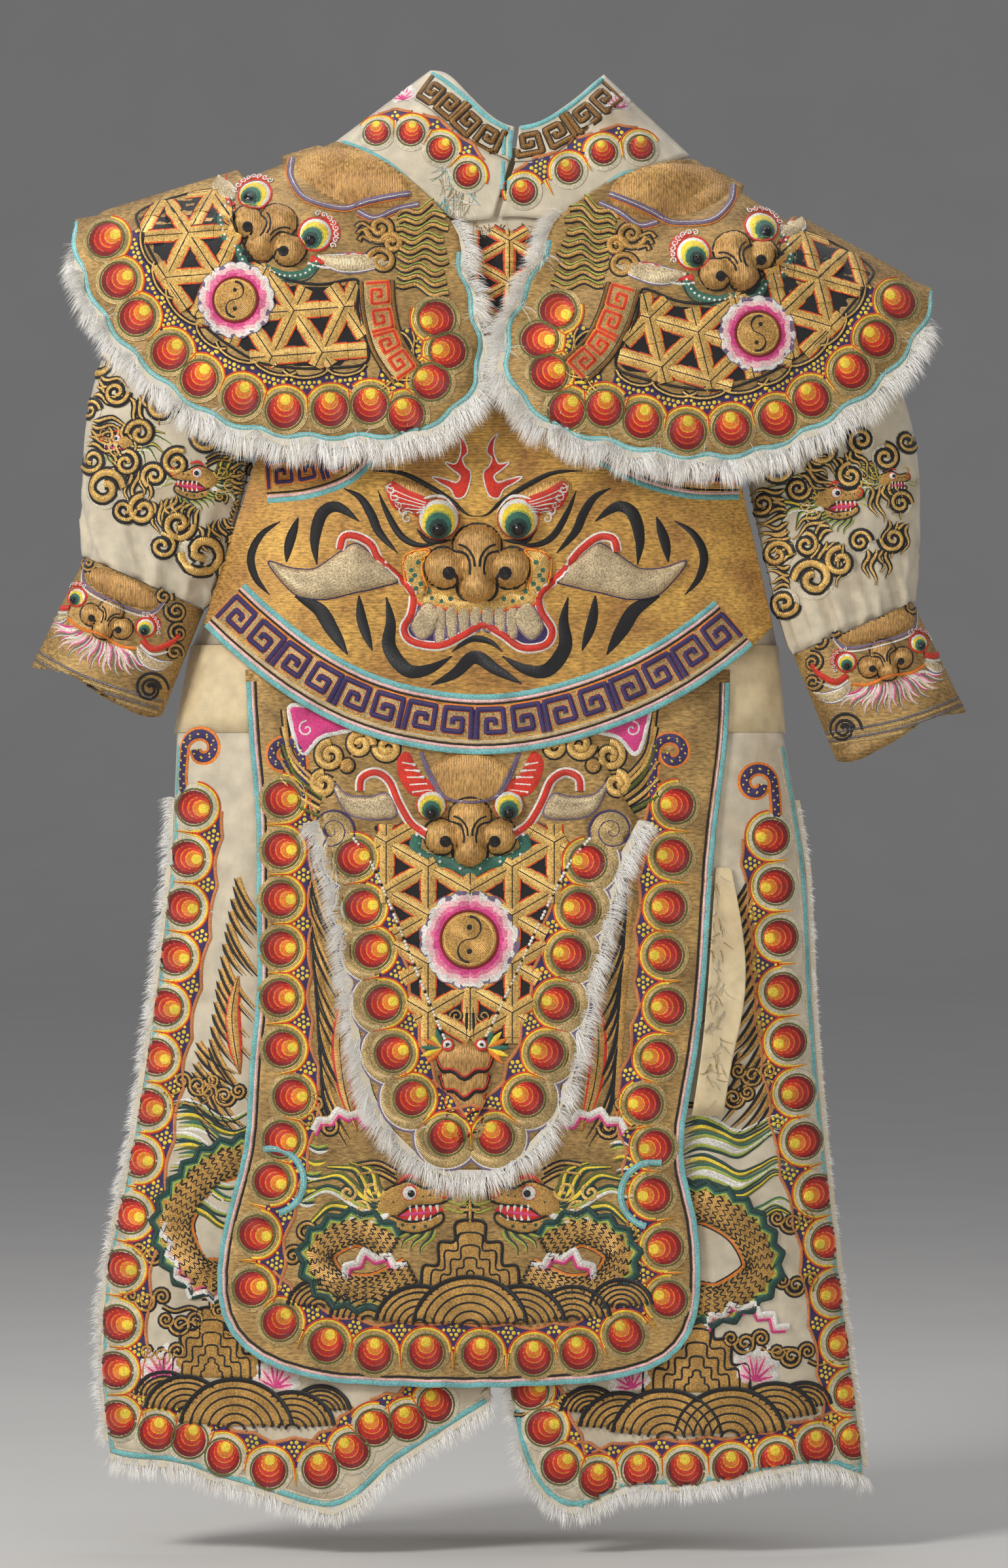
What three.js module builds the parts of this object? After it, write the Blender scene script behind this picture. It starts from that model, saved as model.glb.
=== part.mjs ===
// A theatre general's armour robe: a hollow tunic hanging from its shoulders, with a stand collar, a neck
// yoke, two scalloped shoulder capes edged with fur, gathered sleeves with fitted cuffs, a padded belly
// panel with a beast's mask, a scalloped front apron, a small tail apron over it, two leg panels on a
// cotton waistband, and a plain back panel. Millimetres, +Z up, the front faces -Y, +X is the viewer's
// right. The origin is where the shoulders of a wearer hold the robe, at the foot of the collar.
import * as THREE from "three";

// Driving sizes
const SATIN = 1.6; // thickness of satin and its lining
const COUCHED = 2.2; // thickness of cloth under couched gold thread
const PADDED = 3; // thickness of the interlined belly panel
const SEAM = 0.4; // gap between two sewn pieces
const FUR = 5; // thickness of a fur trim at its free edge
const FUR_ROOT = 2; // and where it is sewn on
const CAPE_FUR = 15; // how far the fur stands past a cape's edge
const HEM_FUR = 12; // how far the fur stands past a hem
const WAIST_SEAM = -572; // where the leg panels join the waistband
const WAIST_TOP = -488; // top edge of the waistband
const TUNIC_HEM = WAIST_TOP + SEAM; // bottom edge of the tunic, under the belly panel
const NECK_FALL = 200; // how far below the shoulder line the neck's front is fully forward
const SHOULDER_FALL = 95; // the same at the shoulder's tip
const BACK_SHARE = 0.9; // the back's depth as a share of the front's
const CAPE_LAP = 7; // how far the right cape's chest corner laps over the left one's
const CAPE_DROOP = 12; // degrees that the right cape hangs lower than the left one
const CAPE_LOBES = 14; // scallops along a cape's edge
const LOBE = 7; // how far a cape's scallop stands out
const BACK_LOBES = 5; // scallops along a cape's back edge
const SHOULDER_RISE = 3; // how far the collar's and the yoke's ends stand over the shoulder line
const CAPE_GAP = 4.5 * SEAM; // gap between the yoke and a cape where they are sewn
const CAPE_FUR_GAP = 2.6 * SEAM; // gap between a cape's rim and its fur

// How far each layer's inner face stands off the tunic's inner face
const ON_HEM = 2; // the waistband
const ON_TUNIC = 2.4;
const ON_SHOULDER = 4; // the collar and the yoke
const ON_WAISTBAND = 5.2;
const ON_APRON = 3.2; // above the apron's own inner face

// The body's outline seen from the front: left and right edge, and front depth, at each height
const BODY = [
  { z: 70, left: -230, right: 230, depth: 74 },
  { z: -150, left: -229, right: 228, depth: 80 },
  { z: -270, left: -229, right: 226, depth: 85 },
  { z: -300, left: -231, right: 226, depth: 86 },
  { z: -341, left: -238, right: 227, depth: 88 },
  { z: -420, left: -268, right: 244, depth: 88 },
  { z: -464, left: -290, right: 260, depth: 86 },
  { z: -520, left: -312, right: 264, depth: 84 },
  { z: -590, left: -316, right: 270, depth: 84 },
  { z: -700, left: -322, right: 294, depth: 88 },
  { z: -850, left: -342, right: 300, depth: 92 },
  { z: -1000, left: -366, right: 314, depth: 96 },
  { z: -1150, left: -390, right: 332, depth: 100 },
  { z: -1250, left: -380, right: 346, depth: 102 },
  { z: -1340, left: -376, right: 352, depth: 102 },
];
// How square the body's plan is: about 2 is an ellipse, 4 is flat in front with tight sides
const SQUARENESS = [
  { z: -300, n: 2.6 },
  { z: -480, n: 2.8 },
  { z: -620, n: 4 },
];
// The tunic's shoulder line, and the capes' own, which reach past the shoulders
const SHOULDER = [
  { x: -260, z: -83 },
  { x: -161, z: -9 },
  { x: -66, z: 62 },
  { x: 92, z: 58 },
  { x: 182, z: -26 },
  { x: 260, z: -99 },
];
const CAPE_SHOULDER = [
  { x: -413, z: -78 },
  { x: -161, z: -1 },
  { x: -66, z: 69 },
  { x: 92, z: 65 },
  { x: 182, z: -18 },
  { x: 413, z: -145 },
];
const CAPE_DEPTH = [
  { x: -414, depth: 48 },
  { x: -340, depth: 78 },
  { x: -232, depth: 98 },
  { x: -60, depth: 106 },
  { x: 60, depth: 106 },
  { x: 232, depth: 98 },
  { x: 340, depth: 78 },
  { x: 414, depth: 48 },
];

const lerp = (a, b, t) => a + (b - a) * t;
const clamp = (v) => Math.min(1, Math.max(0, v));
const smooth = (v) => clamp(v) ** 2 * (3 - 2 * clamp(v));
const radians = (degrees) => (degrees * Math.PI) / 180;
// A quarter circle's rise: 0 at the shoulder line, 1 once fully forward
const roundOver = (t) => Math.sqrt(Math.max(0, 1 - (1 - clamp(t)) ** 2));

// Reads a column of a table whose rows are ordered by another one
function read(table, key, at, column) {
  const up = table[0][key] < table.at(-1)[key];
  const rows = up ? table : [...table].reverse();
  if (at <= rows[0][key]) return rows[0][column];
  for (let i = 1; i < rows.length; i++) {
    const [a, b] = [rows[i - 1], rows[i]];
    if (at <= b[key]) {
      return lerp(a[column], b[column], (at - a[key]) / (b[key] - a[key]));
    }
  }
  return rows.at(-1)[column];
}

// How far the body's surface stands from its middle plane, at x and z, for a layer that is off outside it
function bodyDepth(x, z, off) {
  const left = read(BODY, "z", z, "left") - off;
  const right = read(BODY, "z", z, "right") + off;
  const half = (right - left) / 2;
  const n = read(SQUARENESS, "z", z, "n");
  const aside = clamp(Math.abs(x - (left + right) / 2) / half);
  const plan = (1 - aside ** n) ** (1 / n);
  const fall = lerp(NECK_FALL, SHOULDER_FALL, smooth(Math.abs(x - 10) / 170));
  const below = read(SHOULDER, "x", x, "z") + off - z;
  return (read(BODY, "z", z, "depth") + off) * plan * roundOver(below / fall);
}

const frontAt = (x, z, off) => new THREE.Vector3(x, -0.2 - bodyDepth(x, z, off), z);
const backAt = (x, z, off) =>
  new THREE.Vector3(x, 0.2 + BACK_SHARE * bodyDepth(x, z, off), z);

// A closed wall over a grid of points. point(u, v) gives its inner face for u and v from 0 to 1, and
// facing(p) a direction that its outer face looks towards. A tube's u goes all the way round.
function wall(point, facing, across, along, thickness, tube = false) {
  const columns = tube ? across : across + 1;
  const rows = along + 1;
  const inner = [];
  for (let j = 0; j < rows; j++) {
    for (let i = 0; i < columns; i++) inner.push(point(i / across, j / along));
  }
  const at = (i, j) => inner[j * columns + (tube ? (i + columns) % columns : i)];
  const normals = inner.map((_, k) => {
    const [i, j] = [k % columns, Math.floor(k / columns)];
    const du = tube
      ? at(i + 1, j).clone().sub(at(i - 1, j))
      : at(Math.min(i + 1, across), j).clone().sub(at(Math.max(i - 1, 0), j));
    const dv = at(i, Math.min(j + 1, along)).clone().sub(at(i, Math.max(j - 1, 0)));
    return du.cross(dv).normalize();
  });
  const facingSum = normals.reduce((sum, n, k) => sum + n.dot(facing(inner[k])), 0);
  const out = Math.sign(facingSum);
  const outer = inner.map((p, k) => {
    const row = Math.floor(k / columns) / along;
    const deep = typeof thickness === "number" ? thickness : thickness(p, row);
    return p.clone().addScaledVector(normals[k], out * deep);
  });
  const points = [...inner, ...outer];
  const layer = inner.length;
  const faces = [];
  const quad = (a, b, c, d) => faces.push([a, b, c], [a, c, d]);
  const id = (i, j, face) => face * layer + j * columns + (tube ? i % columns : i);
  for (let j = 0; j < along; j++) {
    for (let i = 0; i < across; i++) {
      quad(id(i, j, 0), id(i, j + 1, 0), id(i + 1, j + 1, 0), id(i + 1, j, 0));
      quad(id(i, j, 1), id(i + 1, j, 1), id(i + 1, j + 1, 1), id(i, j + 1, 1));
    }
    if (tube) continue;
    quad(id(0, j, 0), id(0, j, 1), id(0, j + 1, 1), id(0, j + 1, 0));
    quad(id(across, j, 0), id(across, j + 1, 0), id(across, j + 1, 1), id(across, j, 1));
  }
  for (let i = 0; i < across; i++) {
    quad(id(i, 0, 0), id(i + 1, 0, 0), id(i + 1, 0, 1), id(i, 0, 1));
    quad(id(i, along, 0), id(i, along, 1), id(i + 1, along, 1), id(i + 1, along, 0));
  }
  return closed(points, faces);
}

// A geometry from points and faces, turned so that its faces point out
function closed(points, faces) {
  const volume = faces.reduce(
    (sum, [a, b, c]) => sum + points[a].dot(points[b].clone().cross(points[c])),
    0,
  );
  const turned = volume > 0 ? faces : faces.map(([a, b, c]) => [a, c, b]);
  const geometry = new THREE.BufferGeometry().setFromPoints(points);
  geometry.setIndex(turned.flat());
  geometry.computeVertexNormals();
  return geometry;
}

// A smooth curve through table rows of x and z, as a function of 0 to 1 along its length
function curve(rows) {
  const line = new THREE.CatmullRomCurve3(
    rows.map(({ x, z }) => new THREE.Vector3(x, 0, z)),
    false,
    "centripetal",
  );
  line.arcLengthDivisions = 400;
  return (t) => line.getPointAt(clamp(t));
}

const part = new THREE.Group();

function add(name, geometry, colour, roughness = 0.8, metalness = 0) {
  const material = new THREE.MeshStandardMaterial({ color: colour, roughness, metalness });
  const mesh = new THREE.Mesh(geometry, material);
  mesh.name = name;
  part.add(mesh);
}

const CREAM = 0xd8c8a4;
const GOLD = 0xb38a3e;
const SILVER = 0xa39472;
const WHITE_FUR = 0xf0ece2;
const COTTON = 0xd9c49a;
const toFront = () => new THREE.Vector3(0, -1, 0.2);
const toBack = () => new THREE.Vector3(0, 1, 0.2);
// Crowds a sheet's columns towards its sides, where it turns
const crowded = (u) => {
  const s = 2 * u - 1;
  return 0.5 + 0.5 * s * (1.5 - 0.5 * s * s);
};

// Tunic: a front and a back, open at the neck, the armholes and the hem
const ARMHOLE = { x: 226, left: -246, right: -276, blend: 30 };
function tunicEdge(z, side) {
  const lowest = side < 0 ? ARMHOLE.left : ARMHOLE.right;
  const seam = read(BODY, "z", z, side < 0 ? "left" : "right");
  return lerp(seam, side * ARMHOLE.x, smooth((z - lowest) / ARMHOLE.blend));
}
function tunicTop(u, neck) {
  const x = lerp(-ARMHOLE.x, ARMHOLE.x, u);
  const shoulder = read(SHOULDER, "x", x, "z");
  return lerp(neck, shoulder, smooth((Math.abs(x - 10) - 100) / 70));
}
function tunicSheet(at, neck) {
  return (u, v) => {
    const z = lerp(tunicTop(crowded(u), neck), TUNIC_HEM, v);
    return at(lerp(tunicEdge(z, -1), tunicEdge(z, 1), crowded(u)), z, 0);
  };
}
add("tunic_front", wall(tunicSheet(frontAt, -62), toFront, 14, 10, SATIN), CREAM);
add("tunic_back", wall(tunicSheet(backAt, -50), toBack, 14, 10, SATIN), CREAM);

// Waistband: a closed cotton ring over the tunic's hem
function ringPoint(u, z, off) {
  const turn = 2 * Math.PI * u;
  const left = read(BODY, "z", z, "left") - off;
  const right = read(BODY, "z", z, "right") + off;
  const aside = Math.sin(turn);
  const x = lerp(left, right, 0.5 + 0.5 * aside * (1.25 - 0.25 * aside * aside));
  return Math.cos(turn) > 0 ? frontAt(x, z, off) : backAt(x, z, off);
}
const aroundBody = (p) => new THREE.Vector3(p.x, p.y * 4, 0);
add(
  "waistband",
  wall((u, v) => ringPoint(u, lerp(WAIST_TOP, WAIST_SEAM + SEAM, v), ON_HEM), aroundBody, 44, 1, SATIN, true),
  COTTON,
);

// Collar and yoke: curves seen from the front, from the left shoulder line to the right one
const COLLAR_TOP = curve([
  { x: -70, z: 66 },
  { x: -57, z: 63 },
  { x: -33, z: 38 },
  { x: -13, z: 18 },
  { x: 6, z: 7 },
  { x: 33, z: 11 },
  { x: 54, z: 24 },
  { x: 72, z: 38 },
  { x: 95, z: 61 },
]);
const COLLAR_FOOT = curve([
  { x: -99, z: 41 },
  { x: -80, z: 32 },
  { x: -45, z: 3 },
  { x: -8, z: -20 },
  { x: 8, z: -27 },
  { x: 42, z: -23 },
  { x: 76, z: 3 },
  { x: 100, z: 26 },
  { x: 122, z: 32 },
]);
const YOKE_EDGE = curve([
  { x: -162, z: -7 },
  { x: -136, z: -17 },
  { x: -106, z: -34 },
  { x: -78, z: -60 },
  { x: -50, z: -83 },
  { x: -20, z: -84 },
  { x: 4, z: -80 },
  { x: 30, z: -82 },
  { x: 61, z: -84 },
  { x: 84, z: -62 },
  { x: 111, z: -42 },
  { x: 146, z: -31 },
  { x: 178, z: -18 },
]);
const SLIT = 2.2; // half the gap of the collar's front opening
const MIDDLE = { top: 0.508, foot: 0.489, edge: 0.465 }; // the front opening's place along the curves

// A sheet between two of the curves, from one share of their length to another
function between(at, upper, lower, from, to, off) {
  return (u, v) => {
    const a = upper(lerp(from.upper, to.upper, u));
    const b = lower(lerp(from.lower, to.lower, u));
    const p = a.lerp(b, v);
    const ridge = read(SHOULDER, "x", p.x, "z") + off;
    const end = lerp(from.upper, to.upper, u);
    const onShoulder = end <= 0 || end >= 1;
    return at(p.x, onShoulder ? ridge + SHOULDER_RISE : Math.min(p.z, ridge), off);
  };
}
// The front's opening is cut at the robe's centre, half on each side
function splitFront(name, upper, lower, middle, across, down, thickness, colour) {
  const start = { upper: 0, lower: 0 };
  const end = { upper: 1, lower: 1 };
  const slit = { upper: middle.upper, lower: middle.lower };
  const less = { upper: slit.upper - SLIT / 200, lower: slit.lower - SLIT / 300 };
  const more = { upper: slit.upper + SLIT / 200, lower: slit.lower + SLIT / 300 };
  const left = between(frontAt, upper, lower, start, less, ON_SHOULDER);
  const right = between(frontAt, upper, lower, more, end, ON_SHOULDER);
  add(name + "_left", wall(left, toFront, across, down, thickness), colour);
  add(name + "_right", wall(right, toFront, across, down, thickness), colour);
}
const under = (line, drop) => (t) => {
  const p = line(t);
  const q = line(clamp(t + 0.01)).sub(line(clamp(t - 0.01)));
  return p.add(new THREE.Vector3(q.z, 0, -q.x).setLength(drop));
};
splitFront("collar", COLLAR_TOP, COLLAR_FOOT, { upper: MIDDLE.top, lower: MIDDLE.foot }, 10, 2, COUCHED, CREAM);
splitFront("yoke", under(COLLAR_FOOT, 2 * SEAM), YOKE_EDGE, { upper: MIDDLE.foot, lower: MIDDLE.edge }, 12, 3, SATIN, CREAM);

// The back of the collar and yoke, in one piece each, a little lower so that the front hides them
const lowered = (line, drop) => (t) => {
  const p = line(t);
  p.z -= drop * Math.sin(Math.PI * t);
  return p;
};
const BACK_DROP = 9;
const whole = [
  { upper: 0, lower: 0 },
  { upper: 1, lower: 1 },
];
add(
  "collar_back",
  wall(between(backAt, lowered(COLLAR_TOP, BACK_DROP), lowered(COLLAR_FOOT, BACK_DROP), ...whole, ON_SHOULDER + SEAM), toBack, 16, 2, COUCHED),
  CREAM,
);
add(
  "yoke_back",
  wall(between(backAt, lowered(under(COLLAR_FOOT, 2 * SEAM), BACK_DROP), lowered(YOKE_EDGE, -20), ...whole, ON_SHOULDER + SEAM), toBack, 18, 3, SATIN),
  CREAM,
);

// Capes: drawn once for the left shoulder, then mirrored and turned for the right one
const CAPE_NECK = { left: { x: -164, z: -3 }, right: { x: 185, z: -20 } };
const CAPE_TIP = { x: -413, z: -78 };
const CAPE_EDGE = curve([
  { x: -50.5, z: -84 },
  { x: -44, z: -129 },
  { x: -32, z: -174 },
  { x: -26, z: -214 },
  { x: -34, z: -248 },
  { x: -55, z: -270 },
  { x: -92, z: -286 },
  { x: -139, z: -289 },
  { x: -185, z: -289 },
  { x: -232, z: -283 },
  { x: -273, z: -270 },
  { x: -313, z: -243 },
  { x: -346, z: -213 },
  { x: -374, z: -181 },
  { x: -392, z: -151 },
  { x: -404, z: -120 },
  { x: -413, z: -84 },
]);
const CAPE_BACK_EDGE = curve([
  { x: -166, z: -10 },
  { x: -205, z: -52 },
  { x: -255, z: -100 },
  { x: -305, z: -140 },
  { x: -350, z: -156 },
  { x: -388, z: -140 },
  { x: -413, z: -82 },
]);
// The cape's edge with its scallops, which die out at both ends
function scalloped(line, lobes, depth) {
  return (t) => {
    const p = line(t);
    const along = line(clamp(t + 0.004)).sub(line(clamp(t - 0.004)));
    const out = new THREE.Vector3(along.z, 0, -along.x).normalize();
    const fade = smooth(t / 0.03) * smooth((1 - t) / 0.03);
    return p.addScaledVector(out, -depth * fade * Math.abs(Math.sin(Math.PI * lobes * t)) ** 0.8);
  };
}
// A point of the left cape's drawing, placed on the left or the right shoulder
function capePlace(p, side) {
  if (side < 0) return { x: p.x, z: p.z };
  const x = -(p.x - CAPE_NECK.left.x);
  const z = p.z - CAPE_NECK.left.z;
  const [c, s] = [Math.cos(radians(CAPE_DROOP)), Math.sin(radians(CAPE_DROOP))];
  return { x: CAPE_NECK.right.x + x * c + z * s, z: CAPE_NECK.right.z - x * s + z * c };
}
// A cape lies on the yoke at the neck and stands free over the arm
function capePoint(x, z, back, side, loose = 1) {
  const ridge = read(CAPE_SHOULDER, "x", x, "z");
  const below = Math.max(0, ridge - z);
  const off = ON_SHOULDER + SATIN + CAPE_GAP + 0.03 * Math.max(0, below - 70);
  const near = bodyDepth(x, Math.min(z, ridge - 0.1), off);
  const free = read(CAPE_DEPTH, "x", x, "depth") * roundOver(below / 110) + 0.035 * below;
  const lap = side > 0 ? CAPE_LAP * smooth((100 - x) / 95) * smooth((below - 80) / 120) : 0;
  const deep = (near ** 8 + (loose * free) ** 8) ** (1 / 8) + lap;
  return new THREE.Vector3(x, back ? BACK_SHARE * deep : -deep, ridge - below);
}
const CAPE_COLUMNS = 3 * CAPE_LOBES;
const CAPE_ROWS = { back: 2, front: 5 };
const SHOULDER_ROW = CAPE_ROWS.back / (CAPE_ROWS.back + CAPE_ROWS.front);
const CAPE_SEWN = 0.3; // share of a cape over which it comes loose from the yoke
const CAPE_BOW = 9; // how far the neck edge bows up from straight
const capeFront = scalloped(CAPE_EDGE, CAPE_LOBES, LOBE);
const capeBack = scalloped(CAPE_BACK_EDGE, BACK_LOBES, LOBE);
function capeSheet(side) {
  return (u, v) => {
    const ridgeX = lerp(CAPE_NECK.left.x, CAPE_TIP.x, u);
    const ridge = { x: ridgeX, z: lerp(CAPE_NECK.left.z, CAPE_TIP.z, u) };
    const back = v < SHOULDER_ROW - 1e-6;
    const share = back ? 1 - v / SHOULDER_ROW : (v - SHOULDER_ROW) / (1 - SHOULDER_ROW);
    const down = share ** 1.35;
    const edge = back ? capeBack(u) : capeFront(u);
    const bow = back ? 0 : CAPE_BOW * Math.sin(Math.PI * down) * (1 - u) ** 4;
    const x = lerp(ridge.x, edge.x, down) + 0.6 * bow;
    const z = lerp(ridge.z, edge.z, down) + bow;
    const placed = capePlace({ x, z }, side);
    if (share === 0) placed.z = read(CAPE_SHOULDER, "x", placed.x, "z");
    return capePoint(placed.x, placed.z, back, side, smooth(u / CAPE_SEWN));
  };
}
const upAndOut = (p) => new THREE.Vector3(0, p.y > 1 ? 1 : -1, 0.6);
const SIDES = [
  { side: -1, name: "left" },
  { side: 1, name: "right" },
];
for (const { side, name } of SIDES) {
  const rows = CAPE_ROWS.back + CAPE_ROWS.front;
  add("cape_" + name, wall(capeSheet(side), upAndOut, CAPE_COLUMNS, rows, COUCHED), GOLD, 0.6, 0.4);
}

// A fur trim: a strip that runs on past a sheet's edge, in the sheet's own plane
function trim(edge, within, width, facing, pieces, gap = 1.6 * SEAM) {
  const strip = (u, v) => {
    const p = edge(u);
    const away = p.clone().sub(within(u)).normalize();
    return p.addScaledVector(away, gap + width * v);
  };
  return wall(strip, facing, pieces, 1, (_, v) => lerp(FUR_ROOT, FUR, v));
}
for (const { side, name } of SIDES) {
  const sheet = capeSheet(side);
  const ahead = (u) => (u * (CAPE_COLUMNS - 2)) / CAPE_COLUMNS;
  const rim = (u) => sheet(ahead(u), 1);
  const front = trim(rim, (u) => sheet(ahead(u), 0.93), CAPE_FUR, upAndOut, CAPE_COLUMNS - 2, CAPE_FUR_GAP);
  add("cape_fur_" + name, front, WHITE_FUR, 1);
  const behind = (u) => lerp(2, CAPE_COLUMNS - 2, u) / CAPE_COLUMNS;
  const edge = (u) => sheet(behind(u), 0);
  const back = trim(edge, (u) => sheet(behind(u), 0.07), CAPE_FUR, toBack, CAPE_COLUMNS - 4);
  add("cape_back_fur_" + name, back, WHITE_FUR, 1);
}

// Sleeves: rings from the armhole to the cuff. turn is 0 where the sleeve points outwards and 90 where it
// points down. Drawn for the left arm; the right one is mirrored and hangs lower.
const SLEEVE = [
  { x: -229.4, y: 0, z: -150, turn: -1.4, wide: 84, deep: 26 },
  { x: -265, y: -6, z: -172, turn: 22, wide: 86, deep: 37 },
  { x: -295, y: -16, z: -210, turn: 46, wide: 86, deep: 42 },
  { x: -318, y: -26, z: -257, turn: 76, wide: 84, deep: 42 },
  { x: -323, y: -34, z: -310, turn: 89, wide: 80, deep: 42 },
  { x: -328, y: -38, z: -355, turn: 86, wide: 74, deep: 41 },
  { x: -337, y: -40, z: -395, turn: 74, wide: 67, deep: 39 },
  { x: -344, y: -42, z: -428, turn: 66, wide: 61, deep: 35 },
];
// The right arm hangs lower than the left one, and nearer the body at the wrist
const RIGHT_ARM = [
  { x: -343, drop: 43, inward: 10 },
  { x: -318, drop: 38, inward: 3 },
  { x: -300, drop: 36, inward: 0 },
  { x: -226, drop: 30, inward: 0 },
];
const GATHERS = 11; // folds of the sleeve where it is gathered to the cuff
const GATHER_DEPTH = 3.4;
const CUFF_LENGTH = 112;
const CUFF = [
  { v: 0, wide: 61, deep: 35 },
  { v: 1, wide: 65, deep: 37 },
];

// A ring's point, with its radius changed by a fold
function armPoint(ring, u, fold, side) {
  const turn = radians(ring.turn);
  const round = 2 * Math.PI * u;
  const across = Math.cos(round) * (ring.wide + fold);
  const ahead = Math.sin(round) * (ring.deep + fold);
  const x = ring.x - Math.sin(turn) * across;
  const z = ring.z + Math.cos(turn) * across;
  const drop = side < 0 ? 0 : read(RIGHT_ARM, "x", ring.x, "drop");
  const inward = side < 0 ? 0 : read(RIGHT_ARM, "x", ring.x, "inward");
  return new THREE.Vector3(side < 0 ? x : -x - inward, ring.y - ahead, z - drop);
}
function ringAt(table, v) {
  const at = v * (table.length - 1);
  const i = Math.min(Math.floor(at), table.length - 2);
  const [a, b] = [table[i], table[i + 1]];
  return Object.fromEntries(Object.keys(a).map((k) => [k, lerp(a[k], b[k], at - i)]));
}
const wrist = SLEEVE.at(-1);
for (const { side, name } of SIDES) {
  const sleeve = (u, v) => {
    const folded = GATHER_DEPTH * smooth((v - 0.45) / 0.5) * Math.cos(2 * Math.PI * GATHERS * u);
    return armPoint(ringAt(SLEEVE, v), u, folded, side);
  };
  const middle = (v) => {
    const ring = ringAt(SLEEVE, v);
    return armPoint({ ...ring, wide: 0, deep: 0 }, 0, 0, side);
  };
  const away = (p) => {
    const v = clamp((-p.z - 100) / 330);
    return p.clone().sub(middle(v));
  };
  add("sleeve_" + name, wall(sleeve, away, 3 * GATHERS, 8, SATIN, true), CREAM);
  const cuff = (u, v) => {
    const turn = radians(wrist.turn);
    const hem = 5 * v * Math.sin(2 * Math.PI * 3 * u + 1);
    const along = 2.5 * SEAM + (CUFF_LENGTH + hem) * v;
    const x = wrist.x - Math.cos(turn) * along;
    const z = wrist.z - Math.sin(turn) * along;
    const at = v * (CUFF.length - 1);
    const size = { wide: read(CUFF, "v", at, "wide"), deep: read(CUFF, "v", at, "deep") };
    return armPoint({ ...wrist, x, z, y: wrist.y - 2 * v, ...size }, u, 0, side);
  };
  const drop = side < 0 ? 0 : RIGHT_ARM[0].drop;
  const heart = new THREE.Vector3(side * 365, wrist.y, -480 - drop);
  add("cuff_" + name, wall(cuff, (p) => p.clone().sub(heart), 24, 3, COUCHED, true), GOLD, 0.6, 0.4);
}

// Belly panel: a crescent from hip to hip
const BELLY_TOP = curve([
  { x: -232, z: -296 },
  { x: -130, z: -268 },
  { x: -13, z: -258 },
  { x: 110, z: -270 },
  { x: 222, z: -318 },
]);
const BELLY_HEM = curve([
  { x: -286, z: -470 },
  { x: -262, z: -493 },
  { x: -208, z: -536 },
  { x: -145, z: -570 },
  { x: -72, z: -589 },
  { x: -2, z: -593 },
  { x: 78, z: -577 },
  { x: 164, z: -541 },
  { x: 230, z: -495 },
  { x: 255, z: -470 },
]);
const BELLY_STAND = 9; // how far its lower part stands off, over the tops of the aprons
function bellyOff(x, z) {
  const aside = clamp(Math.abs(x + 14) / 262);
  return ON_TUNIC + BELLY_STAND * smooth((-z - 262) / 170) + 2 * aside ** 6;
}
// The panel is stiff, so its sides stand off the flanks
const BELLY_FREE = [
  { x: -290, depth: 46 },
  { x: -230, depth: 56 },
  { x: -150, depth: 60 },
  { x: -60, depth: 50 },
  { x: 40, depth: 50 },
  { x: 130, depth: 60 },
  { x: 205, depth: 56 },
  { x: 260, depth: 46 },
];
function bellyAt(x, z, more) {
  const p = frontAt(x, z, bellyOff(x, z) + more);
  const free = read(BELLY_FREE, "x", x, "depth") + more;
  p.y = -(((-p.y) ** 8 + free ** 8) ** (1 / 8));
  return p;
}
add(
  "belly_panel",
  wall(
    (u, v) => {
      const p = BELLY_TOP(crowded(u)).lerp(BELLY_HEM(crowded(u)), v);
      return bellyAt(p.x, p.z, 0);
    },
    toFront,
    24,
    7,
    PADDED,
  ),
  GOLD,
  0.5,
  0.5,
);

// Front apron and tail apron: left and right edge at each height
const APRON = [
  { z: -512, left: -246, right: 215 },
  { z: -583, left: -243, right: 214 },
  { z: -658, left: -233, right: 201 },
  { z: -732, left: -237, right: 196 },
  { z: -807, left: -231, right: 192 },
  { z: -881, left: -242, right: 184 },
  { z: -948, left: -243, right: 169 },
  { z: -986, left: -250, right: 169 },
  { z: -1030, left: -264, right: 184 },
  { z: -1082, left: -274, right: 187 },
  { z: -1127, left: -270, right: 185 },
  { z: -1157, left: -248, right: 169 },
  { z: -1176, left: -215, right: 143 },
  { z: -1187, left: -166, right: 90 },
];
const TAIL = [
  { z: -560, left: -120, right: 66 },
  { z: -590, left: -143, right: 90 },
  { z: -628, left: -174, right: 110 },
  { z: -655, left: -178, right: 127 },
  { z: -697, left: -159, right: 104 },
  { z: -739, left: -151, right: 93 },
  { z: -797, left: -144, right: 78 },
  { z: -856, left: -137, right: 68 },
  { z: -914, left: -125, right: 54 },
  { z: -948, left: -106, right: 36 },
  { z: -973, left: -80, right: 12 },
  { z: -985, left: -52, right: -16 },
];
const TAIL_FOOT = 10; // columns along the tail apron's foot
// A sheet whose rows are the table's, with the rows between them evened out and the last one scalloped
function rowsSheet(table, at, scallop) {
  return (u, v) => {
    const place = v * (table.length - 1);
    const i = Math.min(Math.floor(place), table.length - 2);
    const [a, b] = [table[i], table[i + 1]];
    const x = lerp(lerp(a.left, b.left, place - i), lerp(a.right, b.right, place - i), u);
    return at(x, lerp(a.z, b.z, place - i) - scallop(u) * smooth((v - 0.85) / 0.15));
  };
}
const apronOff = (z) => ON_WAISTBAND + 9 * smooth((WAIST_SEAM - z) / 330);
const tailOff = (z) => apronOff(z) + ON_APRON + 5 * smooth((-z - 600) / 260);
const apronAt = (x, z) => frontAt(x, z, apronOff(z));
const tailAt = (x, z) => frontAt(x, z, tailOff(z));
const apronHem = (u) => 6 * Math.sin(Math.PI * u) * (0.6 + 0.4 * Math.abs(Math.sin(7 * Math.PI * u)));
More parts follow.
